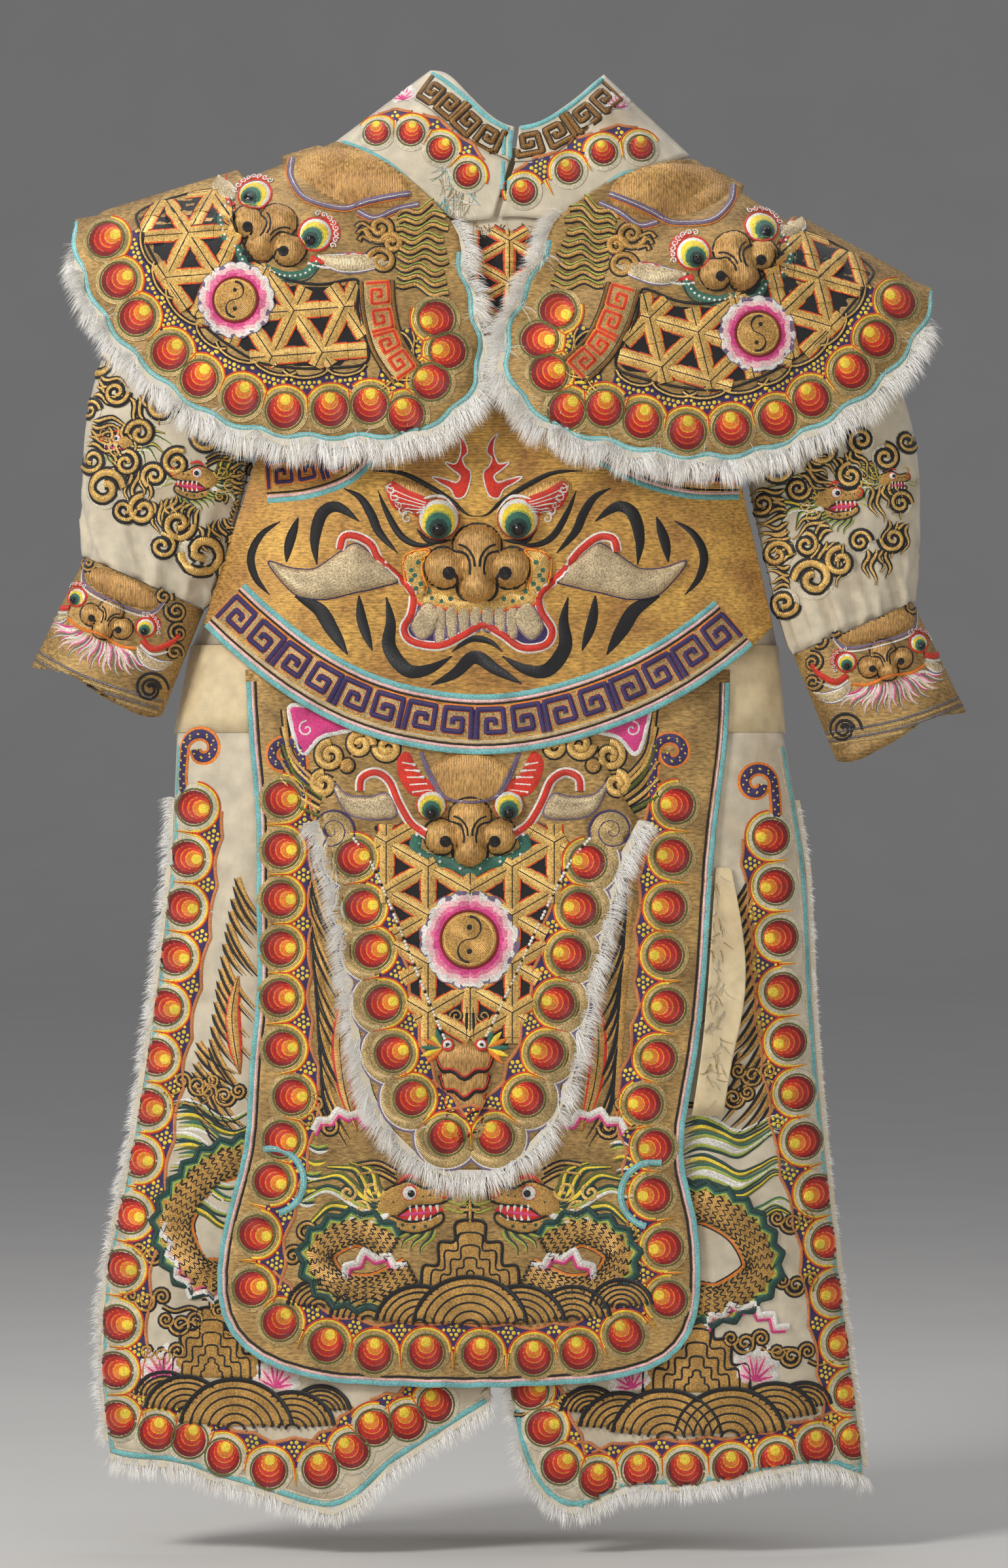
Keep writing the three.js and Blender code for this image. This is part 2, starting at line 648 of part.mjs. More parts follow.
add("front_apron", wall(rowsSheet(APRON, apronAt, apronHem), toFront, 14, APRON.length - 1, COUCHED), GOLD, 0.6, 0.4);
add("tail_apron", wall(rowsSheet(TAIL, tailAt, () => 0), toFront, TAIL_FOOT, TAIL.length - 1, COUCHED), GOLD, 0.6, 0.4);

// The tail apron's fur runs from below the beast's mask all the way round its foot
const TAIL_FUR_TOP = 3; // the table's row where it starts
function tailRim() {
  const last = TAIL.length - 1;
  const stops = [];
  for (let row = TAIL_FUR_TOP; row < last; row++) stops.push({ u: 0, v: row / last, x: -1, z: -0.15 });
  for (let i = 0; i <= TAIL_FOOT; i++) {
    const aside = (2 * i) / TAIL_FOOT - 1;
    stops.push({ u: i / TAIL_FOOT, v: 1, x: 0.8 * aside ** 3, z: -1 + 0.35 * Math.abs(aside) ** 3 });
  }
  for (let row = last - 1; row >= TAIL_FUR_TOP; row--) stops.push({ u: 1, v: row / last, x: 1, z: -0.15 });
  return stops;
}
const tailStops = tailRim();
const tailSheet = rowsSheet(TAIL, tailAt, () => 0);
const tailStop = (u) => tailStops[Math.round(u * (tailStops.length - 1))];
const tailEdge = (u) => tailSheet(tailStop(u).u, tailStop(u).v);
function tailWithin(u) {
  const p = tailEdge(u);
  const { x, z } = tailStop(u);
  return new THREE.Vector3(p.x - x, p.y, p.z - z);
}
add("tail_fur", trim(tailEdge, tailWithin, CAPE_FUR, toFront, tailStops.length - 1), WHITE_FUR, 1);

// Leg panels: outer and inner edge at each height, the hem's outline, and the folds that run down them
const LEGS = [
  {
    name: "left",
    outer: [
      { z: WAIST_SEAM, x: -312 },
      { z: -700, x: -316 },
      { z: -850, x: -334 },
      { z: -1000, x: -358 },
      { z: -1080, x: -380 },
      { z: -1180, x: -384 },
      { z: -1300, x: -370 },
    ],
    inner: [
      { z: WAIST_SEAM, x: -28 },
      { z: -1300, x: -10 },
    ],
    hem: [
      { x: -384, z: -1256 },
      { x: -349, z: -1263 },
      { x: -304, z: -1263 },
      { x: -284, z: -1276 },
      { x: -233, z: -1287 },
      { x: -185, z: -1304 },
      { x: -151, z: -1311 },
      { x: -129, z: -1288 },
      { x: -106, z: -1263 },
      { x: -66, z: -1240 },
      { x: -10, z: -1205 },
    ],
    folds: [
      { x: -352, toX: -372, width: 26, depth: 7 },
      { x: -262, toX: -280, width: 34, depth: -13 },
      { x: -150, toX: -118, width: 40, depth: 8 },
      { x: -80, toX: -60, width: 30, depth: -7 },
    ],
  },
  {
    name: "right",
    outer: [
      { z: WAIST_SEAM, x: 266 },
      { z: -700, x: 288 },
      { z: -850, x: 294 },
      { z: -1000, x: 308 },
      { z: -1150, x: 326 },
      { z: -1300, x: 345 },
    ],
    inner: [
      { z: WAIST_SEAM, x: -22 },
      { z: -1300, x: 14 },
    ],
    hem: [
      { x: 8, z: -1214 },
      { x: 18, z: -1254 },
      { x: 36, z: -1295 },
      { x: 72, z: -1312 },
      { x: 108, z: -1286 },
      { x: 190, z: -1283 },
      { x: 266, z: -1268 },
      { x: 310, z: -1265 },
      { x: 350, z: -1283 },
    ],
    folds: [
      { x: 60, toX: 112, width: 32, depth: -10 },
      { x: 150, toX: 190, width: 44, depth: 7 },
      { x: 250, toX: 318, width: 26, depth: -9 },
    ],
  },
];
const FOLD_TOP = -640;
const FOLD_FULL = -1150;
function legPoint(leg, x, z) {
  const down = smooth((FOLD_TOP - z) / (FOLD_TOP - FOLD_FULL));
  const rise = leg.folds.reduce((sum, fold) => {
    const off = (x - lerp(fold.x, fold.toX, down)) / fold.width;
    return sum + fold.depth * down * Math.exp(-off * off);
  }, 0);
  const p = frontAt(x, z, ON_TUNIC);
  p.y -= rise;
  return p;
}
function legSheet(leg) {
  return (u, v) => {
    const share = leg.name === "left" ? u : 1 - u;
    const dense = lerp(share, crowded(share), 0.5);
    const foot = lerp(leg.outer.at(-1).x, leg.inner.at(-1).x, dense);
    const hem = read(leg.hem, "x", foot, "z");
    const z = lerp(WAIST_SEAM, hem, v);
    const x = lerp(read(leg.outer, "z", z, "x"), read(leg.inner, "z", z, "x"), dense);
    return legPoint(leg, x, z);
  };
}
const LEG_GRID = { across: 16, down: 11 };
for (const leg of LEGS) {
  const sheet = legSheet(leg);
  add("leg_panel_" + leg.name, wall(sheet, toFront, LEG_GRID.across, LEG_GRID.down, SATIN), CREAM);
  const hem = trim((u) => sheet(u, 1), (u) => sheet(u, 0.97), HEM_FUR, toFront, LEG_GRID.across);
  add("hem_fur_" + leg.name, hem, WHITE_FUR, 1);
  const outside = leg.name === "left" ? 0 : 1;
  const inside = leg.name === "left" ? 0.04 : 0.96;
  const run = (u) => Math.min(lerp(1 / LEG_GRID.down, 1, u), 0.985);
  const side = trim((u) => sheet(outside, run(u)), (u) => sheet(inside, run(u)), HEM_FUR, toFront, LEG_GRID.down - 1);
  add("side_fur_" + leg.name, side, WHITE_FUR, 1);
}
const rightLeg = legSheet(LEGS[1]);
const slit = (u) => lerp(10.1 / LEG_GRID.down, 0.985, u);
add("slit_fur", trim((u) => rightLeg(0, slit(u)), (u) => rightLeg(0.04, slit(u)), HEM_FUR, toFront, 3), WHITE_FUR, 1);

// A torn flap of lining that hangs out from behind the front apron, over the right leg panel
const FLAP = [
  { z: -700, left: 201, right: 216 },
  { z: -760, left: 197, right: 228 },
  { z: -820, left: 193, right: 232 },
  { z: -880, left: 187, right: 216 },
  { z: -935, left: 178, right: 208 },
];
const flapOff = (z) => ON_WAISTBAND + 1.4 + 10 * smooth((-z - 700) / 120);
const flapAt = (x, z) => frontAt(x, z, flapOff(z) + 2 * Math.sin(x / 7));
add("torn_flap", wall(rowsSheet(FLAP, flapAt, () => 0), toFront, 6, FLAP.length - 1, 1), COTTON);

// Back panel: the front apron's plain twin, hung from the back of the waistband
const BACK_PANEL = [
  { z: WAIST_TOP - 6, left: -204, right: 162 },
  { z: -590, left: -212, right: 172 },
  { z: -760, left: -228, right: 190 },
  { z: -930, left: -244, right: 206 },
  { z: -1080, left: -256, right: 220 },
  { z: -1140, left: -248, right: 212 },
  { z: -1172, left: -218, right: 186 },
  { z: -1184, left: -170, right: 130 },
];
const backPanelAt = (x, z) => backAt(x, z, ON_WAISTBAND + 4 * smooth((WAIST_SEAM - z) / 300));
add("back_panel", wall(rowsSheet(BACK_PANEL, backPanelAt, () => 0), toBack, 14, 10, COUCHED), CREAM);

// Padded applique: a domed pad over a panel. outline(angle) gives the pad's reach from its middle
const PAD_GAP = 0.5;
function pad(at, middle, outline, height, around = 16, rings = 3) {
  const points = [];
  for (const top of [false, true]) {
    const rise = (r) => PAD_GAP + (top ? 0.8 + height * Math.sqrt(1 - r * r) : 0);
    points.push(at(middle.x, middle.z, rise(0)));
    for (let k = 1; k <= rings; k++) {
      for (let i = 0; i < around; i++) {
        const angle = (2 * Math.PI * i) / around;
        const reach = (outline(angle) * k) / rings;
        const x = middle.x + Math.cos(angle) * reach;
        points.push(at(x, middle.z + Math.sin(angle) * reach, rise(k / rings)));
      }
    }
  }
  const layer = 1 + rings * around;
  const faces = [];
  const id = (face, k, i) => face * layer + 1 + (k - 1) * around + (i % around);
  for (let i = 0; i < around; i++) {
    faces.push([0, id(0, 1, i + 1), id(0, 1, i)], [layer, id(1, 1, i), id(1, 1, i + 1)]);
    for (let k = 1; k < rings; k++) {
      faces.push([id(0, k, i), id(0, k, i + 1), id(0, k + 1, i + 1)]);
      faces.push([id(0, k, i), id(0, k + 1, i + 1), id(0, k + 1, i)]);
      faces.push([id(1, k, i), id(1, k + 1, i + 1), id(1, k, i + 1)]);
      faces.push([id(1, k, i), id(1, k + 1, i), id(1, k + 1, i + 1)]);
    }
    faces.push([id(0, rings, i), id(0, rings, i + 1), id(1, rings, i + 1)]);
    faces.push([id(0, rings, i), id(1, rings, i + 1), id(1, rings, i)]);
  }
  return closed(points, faces);
}
// An outline of an ellipse, turned by a number of degrees, with a lobed rim where lobes is over 0
function oval(wide, tall, turned = 0, lobes = 0, lobe = 0) {
  return (angle) => {
    const a = angle - radians(turned);
    const reach = (wide * tall) / Math.hypot(tall * Math.cos(a), wide * Math.sin(a));
    return reach * (1 + lobe * Math.cos(lobes * a));
  };
}
// A point that stands off a surface, along its normal
function standOff(surface, x, z, rise) {
  const p = surface(x, z);
  const across = surface(x + 3, z).sub(surface(x - 3, z));
  const up = surface(x, z + 3).sub(surface(x, z - 3));
  return p.addScaledVector(across.cross(up).normalize(), rise);
}
const onBelly = (x, z, rise) => standOff((a, b) => bellyAt(a, b, 0), x, z, PADDED + rise);
const onTail = (x, z, rise) => standOff(tailAt, x, z, COUCHED + rise);
const onCape = (side) => (x, z, rise) => {
  const placed = capePlace({ x, z }, side);
  return standOff((a, b) => capePoint(a, b, false, side), placed.x, placed.z, COUCHED + rise);
};
const BEAST = { x: -26 };
// The belly mask's pads: muzzle, nostrils, eyes and tusks, with dx and z from the mask's centre line
const BELLY_PADS = [
  { name: "belly_nose", dx: 0, z: -388, wide: 25, tall: 38, turned: 0, height: 20, around: 16 },
  { name: "belly_nostril_left", dx: -49, z: -400, wide: 22, tall: 21, turned: 0, height: 13, around: 14 },
  { name: "belly_nostril_right", dx: 49, z: -400, wide: 22, tall: 21, turned: 0, height: 13, around: 14 },
  { name: "belly_eye_left", dx: -44, z: -354, wide: 19, tall: 19, turned: 0, height: 8, around: 14 },
  { name: "belly_eye_right", dx: 44, z: -354, wide: 19, tall: 19, turned: 0, height: 8, around: 14 },
];
for (const row of BELLY_PADS) {
  const middle = { x: BEAST.x + row.dx, z: row.z };
  const shape = oval(row.wide, row.tall, row.turned);
  add(row.name, pad(onBelly, middle, shape, row.height, row.around), GOLD, 0.5, 0.5);
}
// Tusks stand out from the mouth's corners, as stuffed crescents
const TUSK_GAP = 0.1;
const TUSK = [
  { along: 0, up: 0, half: 3 },
  { along: 28, up: -1, half: 19 },
  { along: 56, up: 0, half: 21 },
  { along: 84, up: 3, half: 15 },
  { along: 118, up: 12, half: 3 },
];
for (const { side, name } of SIDES) {
  const tusk = (u, v) => {
    const row = ringAt(TUSK, u);
    const x = BEAST.x + side * (82 + row.along);
    return onBelly(x, -414 + row.up + row.half * (1 - 2 * v), TUSK_GAP + 5 * smooth(u / 0.3));
  };
  const stuffed = (p) => {
    const u = clamp((side * (p.x - BEAST.x) - 82) / 118);
    return 1.5 + 8 * Math.sin(Math.PI * clamp(0.08 + 0.86 * u));
  };
  add("belly_tusk_" + name, wall(tusk, toFront, 8, 4, stuffed), SILVER, 0.6, 0.4);
}
// The small beasts' snouts, and the round flower medallions
const CAPE_PADS = [
  { name: "cape_snout", x: -225, z: -96, wide: 44, tall: 24, turned: 141, lobes: 3, lobe: 0.12, height: 10, around: 18 },
  { name: "cape_flower", x: -250, z: -157, wide: 35, tall: 35, turned: 0, lobes: 8, lobe: 0.06, height: 3, around: 24 },
];
for (const { side, name } of SIDES) {
  for (const row of CAPE_PADS) {
    const shape = oval(row.wide, row.tall, row.turned, row.lobes, row.lobe);
    add(row.name + "_" + name, pad(onCape(side), row, shape, row.height, row.around, 2), GOLD, 0.5, 0.5);
  }
}
const TAIL_PADS = [
  { name: "tail_snout", x: -33, z: -667, wide: 52, tall: 24, lobes: 2, lobe: 0, height: 13, around: 18 },
  { name: "tail_flower", x: -33, z: -768, wide: 56, tall: 56, lobes: 8, lobe: 0.06, height: 3, around: 24 },
  { name: "tail_beetle", x: -32, z: -905, wide: 30, tall: 44, lobes: 5, lobe: 0.06, height: 8, around: 18 },
];
for (const row of TAIL_PADS) {
  const shape = oval(row.wide, row.tall, 0, row.lobes, row.lobe);
  add(row.name, pad(onTail, row, shape, row.height, row.around, 2), GOLD, 0.5, 0.5);
}

export default part;
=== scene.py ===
"""An opera general's armour robe, dressed with its cloth, stitching, padding and fur.

Places are x and z in millimetres, seen from the front, and every piece is laid on the cloth that carries
it. The places on the panels are measured on a front view, on a grid of 0.745 mm steps.
"""

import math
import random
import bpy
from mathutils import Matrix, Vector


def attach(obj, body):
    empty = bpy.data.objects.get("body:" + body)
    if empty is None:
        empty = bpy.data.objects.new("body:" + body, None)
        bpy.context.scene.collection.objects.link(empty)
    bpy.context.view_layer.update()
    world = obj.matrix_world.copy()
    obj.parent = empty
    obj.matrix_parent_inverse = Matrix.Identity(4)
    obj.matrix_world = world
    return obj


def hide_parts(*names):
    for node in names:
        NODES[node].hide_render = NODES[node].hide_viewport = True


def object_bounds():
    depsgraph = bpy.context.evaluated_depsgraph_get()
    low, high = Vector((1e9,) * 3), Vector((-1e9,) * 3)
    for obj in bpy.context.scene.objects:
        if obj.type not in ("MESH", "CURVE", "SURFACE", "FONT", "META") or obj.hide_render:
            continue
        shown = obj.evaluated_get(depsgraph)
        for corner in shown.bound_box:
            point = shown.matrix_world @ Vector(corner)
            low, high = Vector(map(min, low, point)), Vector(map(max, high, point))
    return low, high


bl_info = {
    "name": "Opera armour robe",
    "version": (1, 0, 0),
    "blender": (4, 5, 0),
    "location": "View3D > Sidebar > Robe",
    "description": "Dresses an opera general's armour robe with its cloth, stitching, padding and fur",
    "category": "Object",
}

from contextlib import contextmanager

import bmesh
import bpy
import numpy as np
from bpy.props import FloatProperty, FloatVectorProperty, IntProperty, PointerProperty
from mathutils import Vector
from mathutils.bvhtree import BVHTree
from mathutils.geometry import delaunay_2d_cdt

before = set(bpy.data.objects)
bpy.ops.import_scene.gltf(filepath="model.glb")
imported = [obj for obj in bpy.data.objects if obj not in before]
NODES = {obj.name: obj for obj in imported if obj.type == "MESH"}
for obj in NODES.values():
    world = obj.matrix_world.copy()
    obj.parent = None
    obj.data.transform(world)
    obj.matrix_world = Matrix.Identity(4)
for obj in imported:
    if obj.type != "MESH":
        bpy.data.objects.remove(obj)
CAD_BOX = [list(corner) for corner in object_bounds()]

MM = 0.001
GRID = 0.745  # millimetres in a step of the measuring grid
GRID_MIDDLE = 643  # the step where x is 0
GRID_TOP = 167  # the step where z is 0
SINK = 0.3  # how far a stitched shape's rim is sunk into the cloth
OVERHANG = 3  # how far stitching may reach past its cloth's rim
SILK, METAL, BEAD = range(3)  # the stitching's finishes
METAL_TINTS = ("gold", "bright gold", "brown gold", "khaki", "silver")  # sewn in metal thread, as a rule
RIM_SEARCH = 40  # how far in from a rough line a cloth's rim is looked for
TUFT = 0.009  # the size of a tuft of fur in metres
APRON_X = -33  # the middle of the front apron


def dye(red, green, blue):
    """A colour as it looks, from 0 to 255, turned into the light that it gives back."""
    shares = (red / 255, green / 255, blue / 255)
    return tuple(s / 12.92 if s <= 0.04045 else ((s + 0.055) / 1.055) ** 2.4 for s in shares)


TINTS = {
    "gold": dye(196, 150, 80),
    "bright gold": dye(222, 178, 100),
    "brown gold": dye(138, 98, 48),
    "khaki": dye(182, 154, 102),
    "silver": dye(208, 186, 146),
    "black": dye(20, 17, 16),
    "grey": dye(120, 112, 108),
    "red": dye(214, 52, 30),
    "dark red": dye(128, 16, 12),
    "crimson": dye(182, 26, 14),
    "scarlet": dye(224, 76, 24),
    "orange": dye(236, 128, 34),
    "amber": dye(246, 172, 44),
    "braid": dye(206, 128, 72),
    "yellow": dye(250, 216, 62),
    "lime": dye(176, 182, 74),
    "olive": dye(98, 102, 42),
    "green": dye(58, 112, 92),
    "dark green": dye(34, 66, 58),
    "purple": dye(60, 44, 92),
    "violet": dye(122, 104, 128),
    "turquoise": dye(120, 188, 186),
    "white": dye(236, 230, 218),
    "cream": dye(214, 200, 172),
    "magenta": dye(222, 66, 134),
    "rose": dye(236, 124, 156),
    "pink": dye(246, 198, 196),
}


def spot(across, down):
    """The x and z of a place on the measuring grid."""
    return ((across - GRID_MIDDLE) * GRID, (GRID_TOP - down) * GRID)


def spots(*pairs):
    """The places of several grid pairs."""
    return [spot(across, down) for across, down in pairs]


def between(a, b, share):
    """A place on the way from one place to another."""
    return (a[0] + (b[0] - a[0]) * share, a[1] + (b[1] - a[1]) * share)


def mirrored(points, hand):
    """The same places where hand is 1, and the ones across the middle where it is -1."""
    return [(hand * x, z) for x, z in points]


def turned_by(point, degrees):
    """A place turned about the origin."""
    c, s = math.cos(math.radians(degrees)), math.sin(math.radians(degrees))
    return (point[0] * c - point[1] * s, point[0] * s + point[1] * c)


def along(points, step, closed=False, straight=False):
    """Evenly spaced places on a line through the given ones, which is curved unless it is straight."""
    given = np.array(points, float)
    count = len(given)
    if straight or count < 3:
        dense = np.vstack([given, given[:1]]) if closed else given
    else:
        shares = np.linspace(0, 1, 9)[:-1, None]
        rows = []
        for i in range(count if closed else count - 1):
            near = [(i + k) % count if closed else min(max(i + k, 0), count - 1) for k in (-1, 0, 1, 2)]
            p, a, b, n = given[near]
            linear = b - p
            square = 2 * p - 5 * a + 4 * b - n
            cube = 3 * a - p - 3 * b + n
            rows.append(0.5 * (2 * a + linear * shares + square * shares**2 + cube * shares**3))
        rows.append(given[:1] if closed else given[-1:])
        dense = np.vstack(rows)
    lengths = np.hypot(*np.diff(dense, axis=0).T)
    reach = np.concatenate([[0], np.cumsum(lengths)])
    pieces = max(3 if closed else 1, round(reach[-1] / step))
    if straight and not closed:
        wanted = np.unique(np.concatenate([np.linspace(0, reach[-1], pieces + 1), reach]))
    else:
        wanted = np.linspace(0, reach[-1], pieces + 1)
    if closed:
        wanted = wanted[:-1]
    return np.column_stack([np.interp(wanted, reach, dense[:, k]) for k in (0, 1)])


def inside(points, outline):
    """Which of the points lie inside a closed outline."""
    points = np.asarray(points, float)
    a = np.asarray(outline, float)
    b = np.roll(a, -1, axis=0)
    x, z = points[:, :1], points[:, 1:]
    rise = np.where(b[:, 1] == a[:, 1], 1e-9, b[:, 1] - a[:, 1])
    crossing = (a[:, 1] > z) != (b[:, 1] > z)
    return ((crossing & (x < (b[:, 0] - a[:, 0]) * (z - a[:, 1]) / rise + a[:, 0])).sum(1) % 2) == 1


def rim_distance(points, outline):
    """How far each point is from a closed outline."""
    a = np.asarray(outline, float)
    step = np.roll(a, -1, axis=0) - a
    away = points[:, None, :] - a[None]
    share = np.clip((away * step).sum(2) / np.maximum((step**2).sum(1), 1e-9), 0, 1)
    return np.hypot(*np.moveaxis(away - share[..., None] * step, 2, 0)).min(1)


def offset_ways(path, closed=False):
    """The direction to the left of a line, at each of its places."""
    first, last = (path[-1:], path[:1]) if closed else (path[:1], path[-1:])
    way = np.vstack([path[1:], last]) - np.vstack([first, path[:-1]])
    way /= np.maximum(np.hypot(*way.T)[:, None], 1e-9)
    return np.column_stack([-way[:, 1], way[:, 0]])


def offset(points, distance, closed=False):
    """A line beside another one, to its left where the distance is positive."""
    path = along(points, 3, closed)
    return path + distance * offset_ways(path, closed)


def spiral(x, z, radius, turns=1.6, start=0, hand=1, core=0.12):
    """A line that winds in towards a middle, from a start angle in degrees."""
    count = max(8, int(14 * turns))
    places = []
    for i in range(count + 1):
        share = i / count
        angle = math.radians(start) + hand * 2 * math.pi * turns * share
        reach = radius * (1 - (1 - core) * share)
        places.append((x + reach * math.cos(angle), z + reach * math.sin(angle)))
    return places


def arc(x, z, radius, start, end, squash=1.0):
    """Places on an arc, from one angle in degrees to another."""
    count = max(4, int(abs(end - start) / 18))
    places = []
    for i in range(count + 1):
        angle = math.radians(start + (end - start) * i / count)
        places.append((x + radius * math.cos(angle), z + radius * squash * math.sin(angle)))
    return places


EVEN = lambda share: 1.0
LEAF = lambda share: max(0.06, math.sin(math.pi * share)) ** 0.7
TIP = lambda share: max(0.05, 1 - share) ** 0.6
BLADE = lambda share: min(1.0, 0.1 + 5 * share) * TIP(share)


class Surface:
    """The outer face of some pieces, found by looking at them from the front or from the back."""

    def __init__(self, *pieces, back=False, overhang=OVERHANG):
        self.overhang = overhang
        corners, faces = [], []
        for piece in pieces:
            first = len(corners)
            corners.extend(vertex.co.copy() for vertex in piece.data.vertices)
            faces.extend([first + i for i in face.vertices] for face in piece.data.polygons)
        self.tree = BVHTree.FromPolygons(corners, faces)
        self.side = 1 if back else -1
        self.depth = sum(corner.y for corner in corners) / len(corners) + 0.03 * self.side

    def hit(self, x, z):
        """The place and normal straight behind a place on the front view, or None."""
        start = Vector((x * MM, self.side, z * MM))
        place, normal, _, _ = self.tree.ray_cast(start, Vector((0, -self.side, 0)))
        if place is None:
            return None
        return place, (normal if normal.y * self.side > 0 else -normal)

    def at(self, x, z):
        """As hit, but just past the rim it goes on level with the nearest place. It is None further out."""
        found = self.hit(x, z)
        if found:
            return found
        near, _, _, _ = self.tree.find_nearest(Vector((x * MM, self.depth, z * MM)))
        if math.hypot(near.x - x * MM, near.z - z * MM) > self.overhang * MM:
            return None
        return Vector((x * MM, near.y, z * MM)), Vector((0, self.side, 0))

    def rim(self, path, inset):
        """Moves a line that runs outside the pieces' rim, with the pieces on its left, in to their rim."""
        path = along(path, 4)
        moved = []
        for (x, z), (a, b) in zip(path, offset_ways(path)):
            far = next((d for d in range(0, RIM_SEARCH, 2) if self.hit(x + a * d, z + b * d)), None)
            if far is None:
                continue
            near = far - 2.0
            for _ in range(3):
                middle = 0.5 * (near + far)
                if self.hit(x + a * middle, z + b * middle):
                    far = middle
                else:
                    near = middle
            moved.append((x + a * (far + inset), z + b * (far + inset)))
        return moved


class Stitching:
    """Gathers raised threads, filled shapes and beads for one panel, and makes one piece of them."""

    def __init__(self, name, surface):
        self.name = name
        self.surface = surface
        self.place = lambda point: point
        self.size = 1.0
        self.points, self.faces, self.finishes, self.tints, self.runs = [], [], [], [], []

    @contextmanager
    def moved(self, x, z, turned=0, size=1.0, flip=False):
        """Draws what follows about another place, turned, resized or mirrored."""
        before, before_size = self.place, self.size
        hand = -1 if flip else 1

        def place(point):
            across, up = turned_by((hand * point[0] * size, point[1] * size), turned)
            return before((x + across, z + up))

        self.place, self.size = place, before_size * size
        yield self
        self.place, self.size = before, before_size

    def _add(self, rows, faces, finish, tint):
        """Adds places with their runs, and the faces between them."""
        first = len(self.points)
        if finish is None:
            finish = METAL if tint in METAL_TINTS else SILK
        self.points += [point for point, _ in rows]
        self.runs += [run for _, run in rows]
        self.tints += [TINTS[tint]] * len(rows)
        self.faces += [[first + i for i in face] for face in faces]
        self.finishes += [finish] * len(faces)

    def thread(self, points, width, tint, lift=0.0, height=None, shape=EVEN, closed=False, straight=False,
               step=3.0, finish=None):
        """A raised line of stitching, which stops where there is no cloth under it."""
        width *= self.size
        whole = along([self.place(p) for p in points], max(1.6, min(step, width)), closed, straight)
        rise = min(1.4, 0.32 * width) if height is None else height
        found = [self.surface.at(x, z) for x, z in whole]
        if None not in found:
            self._lay(found, width, tint, finish, lift, rise, shape, closed)
            return
        start = 0
        for i, place in enumerate([*found, None]):
            if place is None:
                if i - start > 2:
                    self._lay(found[start:i], width, tint, finish, lift, rise, shape, False)
                start = i + 1

    def _lay(self, laid, width, tint, finish, lift, rise, shape, closed):
        """Lays one thread along the places found for it."""
        count = len(laid)
        profile = (-1, 0, 1) if width < 5 else (-1, -0.66, 0, 0.66, 1)
        crown = {-1: 0.0, 1: 0.0, 0: 1.0, -0.66: 0.82, 0.66: 0.82}
        rows, faces = [], []
        run = 0.0
        for i, (place, normal) in enumerate(laid):
            ahead = laid[(i + 1) % count][0] if closed or i + 1 < count else place
            behind = laid[i - 1][0] if closed or i else place
            run += (place - behind).length if i else 0.0
            side = normal.cross(ahead - behind).normalized()
            share = shape(i / max(1, count - 1))
            for across in profile:
                level = lift - SINK if abs(across) == 1 else lift + rise * share * crown[across]
                point = place + side * (0.5 * width * share * across * MM) + normal * (level * MM)
                rows.append((point, run))
        wide = len(profile)
        for i in range(count if closed else count - 1):
            here, there = i * wide, ((i + 1) % count) * wide
            faces += [(here + k, here + k + 1, there + k + 1, there + k) for k in range(wide - 1)]
        self._add(rows, faces, finish, tint)

    def patch(self, outline, tint, lift=0.0, rise=0.6, cell=5.0, straight=False, slant=35, domed=False):
        """A filled shape with a soft rim, or one that is stuffed so that it rises to its middle."""
        rim = along([self.place(p) for p in outline], min(3.0, cell), True, straight)
        low, high = rim.min(0), rim.max(0)
        across = np.arange(low[0] + cell / 2, high[0], cell)
        up = np.arange(low[1] + cell / 2, high[1], cell)
        grid = np.array([(x, z) for x in across for z in up]).reshape(-1, 2)
        if len(grid):
            grid = grid[inside(grid, rim)]
        if len(grid):
            grid = grid[rim_distance(grid, rim) > 0.4 * cell]
        corners = [Vector(p) for p in rim] + [Vector(p) for p in grid]
        made, _, triangles, origins, _, _ = delaunay_2d_cdt(corners, [], [list(range(len(rim)))], 1, 1e-5)
        lean = (math.cos(math.radians(slant)), math.sin(math.radians(slant)))
        places = np.array([tuple(p) for p in made])
        deep = rim_distance(places, rim)
        deepest = max(float(deep.max()), 1e-6)
        rows, missing = [], set()
        for i, ((x, z), origin) in enumerate(zip(places, origins)):
            on_rim = any(k < len(rim) for k in origin)
            swell = math.sqrt(max(0.0, 1 - (1 - deep[i] / deepest) ** 2)) if domed else 1.0
            found = self.surface.at(x, z)
            if found is None:
                missing.add(i)
                found = (Vector((x * MM, 0, z * MM)), Vector((0, 0, 0)))
            place, normal = found
            point = place + normal * ((lift - SINK if on_rim else lift + rise * swell) * MM)
            rows.append((point, (x * lean[0] + z * lean[1]) * MM))
        self._add(rows, [tuple(t) for t in triangles if not missing.intersection(t)], None, tint)

    def disc(self, x, z, radius, tint, lift=0.0, rise=0.5, around=None, finish=None):
        """A round filled shape with a soft rim."""
        count = around or max(10, int(radius * self.size * 1.3))
        levels = ((1.0, -SINK), (0.85, 0.75 * rise), (0.45, rise)) if count > 8 else ((1.0, -SINK),)
        found = self.surface.at(*self.place((x, z)))
        if found is None:
            return
        rows, faces = [(found[0] + found[1] * ((lift + rise) * MM), 0.0)], []
        for reach, level in reversed(levels):
            for i in range(count):
                angle = 2 * math.pi * i / count
                out = radius * reach
                rim_at = self.place((x + out * math.cos(angle), z + out * math.sin(angle)))
                place, normal = self.surface.at(*rim_at) or found
                rows.append((place + normal * ((lift + level) * MM), out * MM))
        for i in range(count):
            faces.append((0, 1 + i, 1 + (i + 1) % count))
            for ring in range(len(levels) - 1):
                a, b = 1 + ring * count, 1 + (ring + 1) * count
                faces.append((a + i, b + i, b + (i + 1) % count, a + (i + 1) % count))
        self._add(rows, faces, finish, tint)

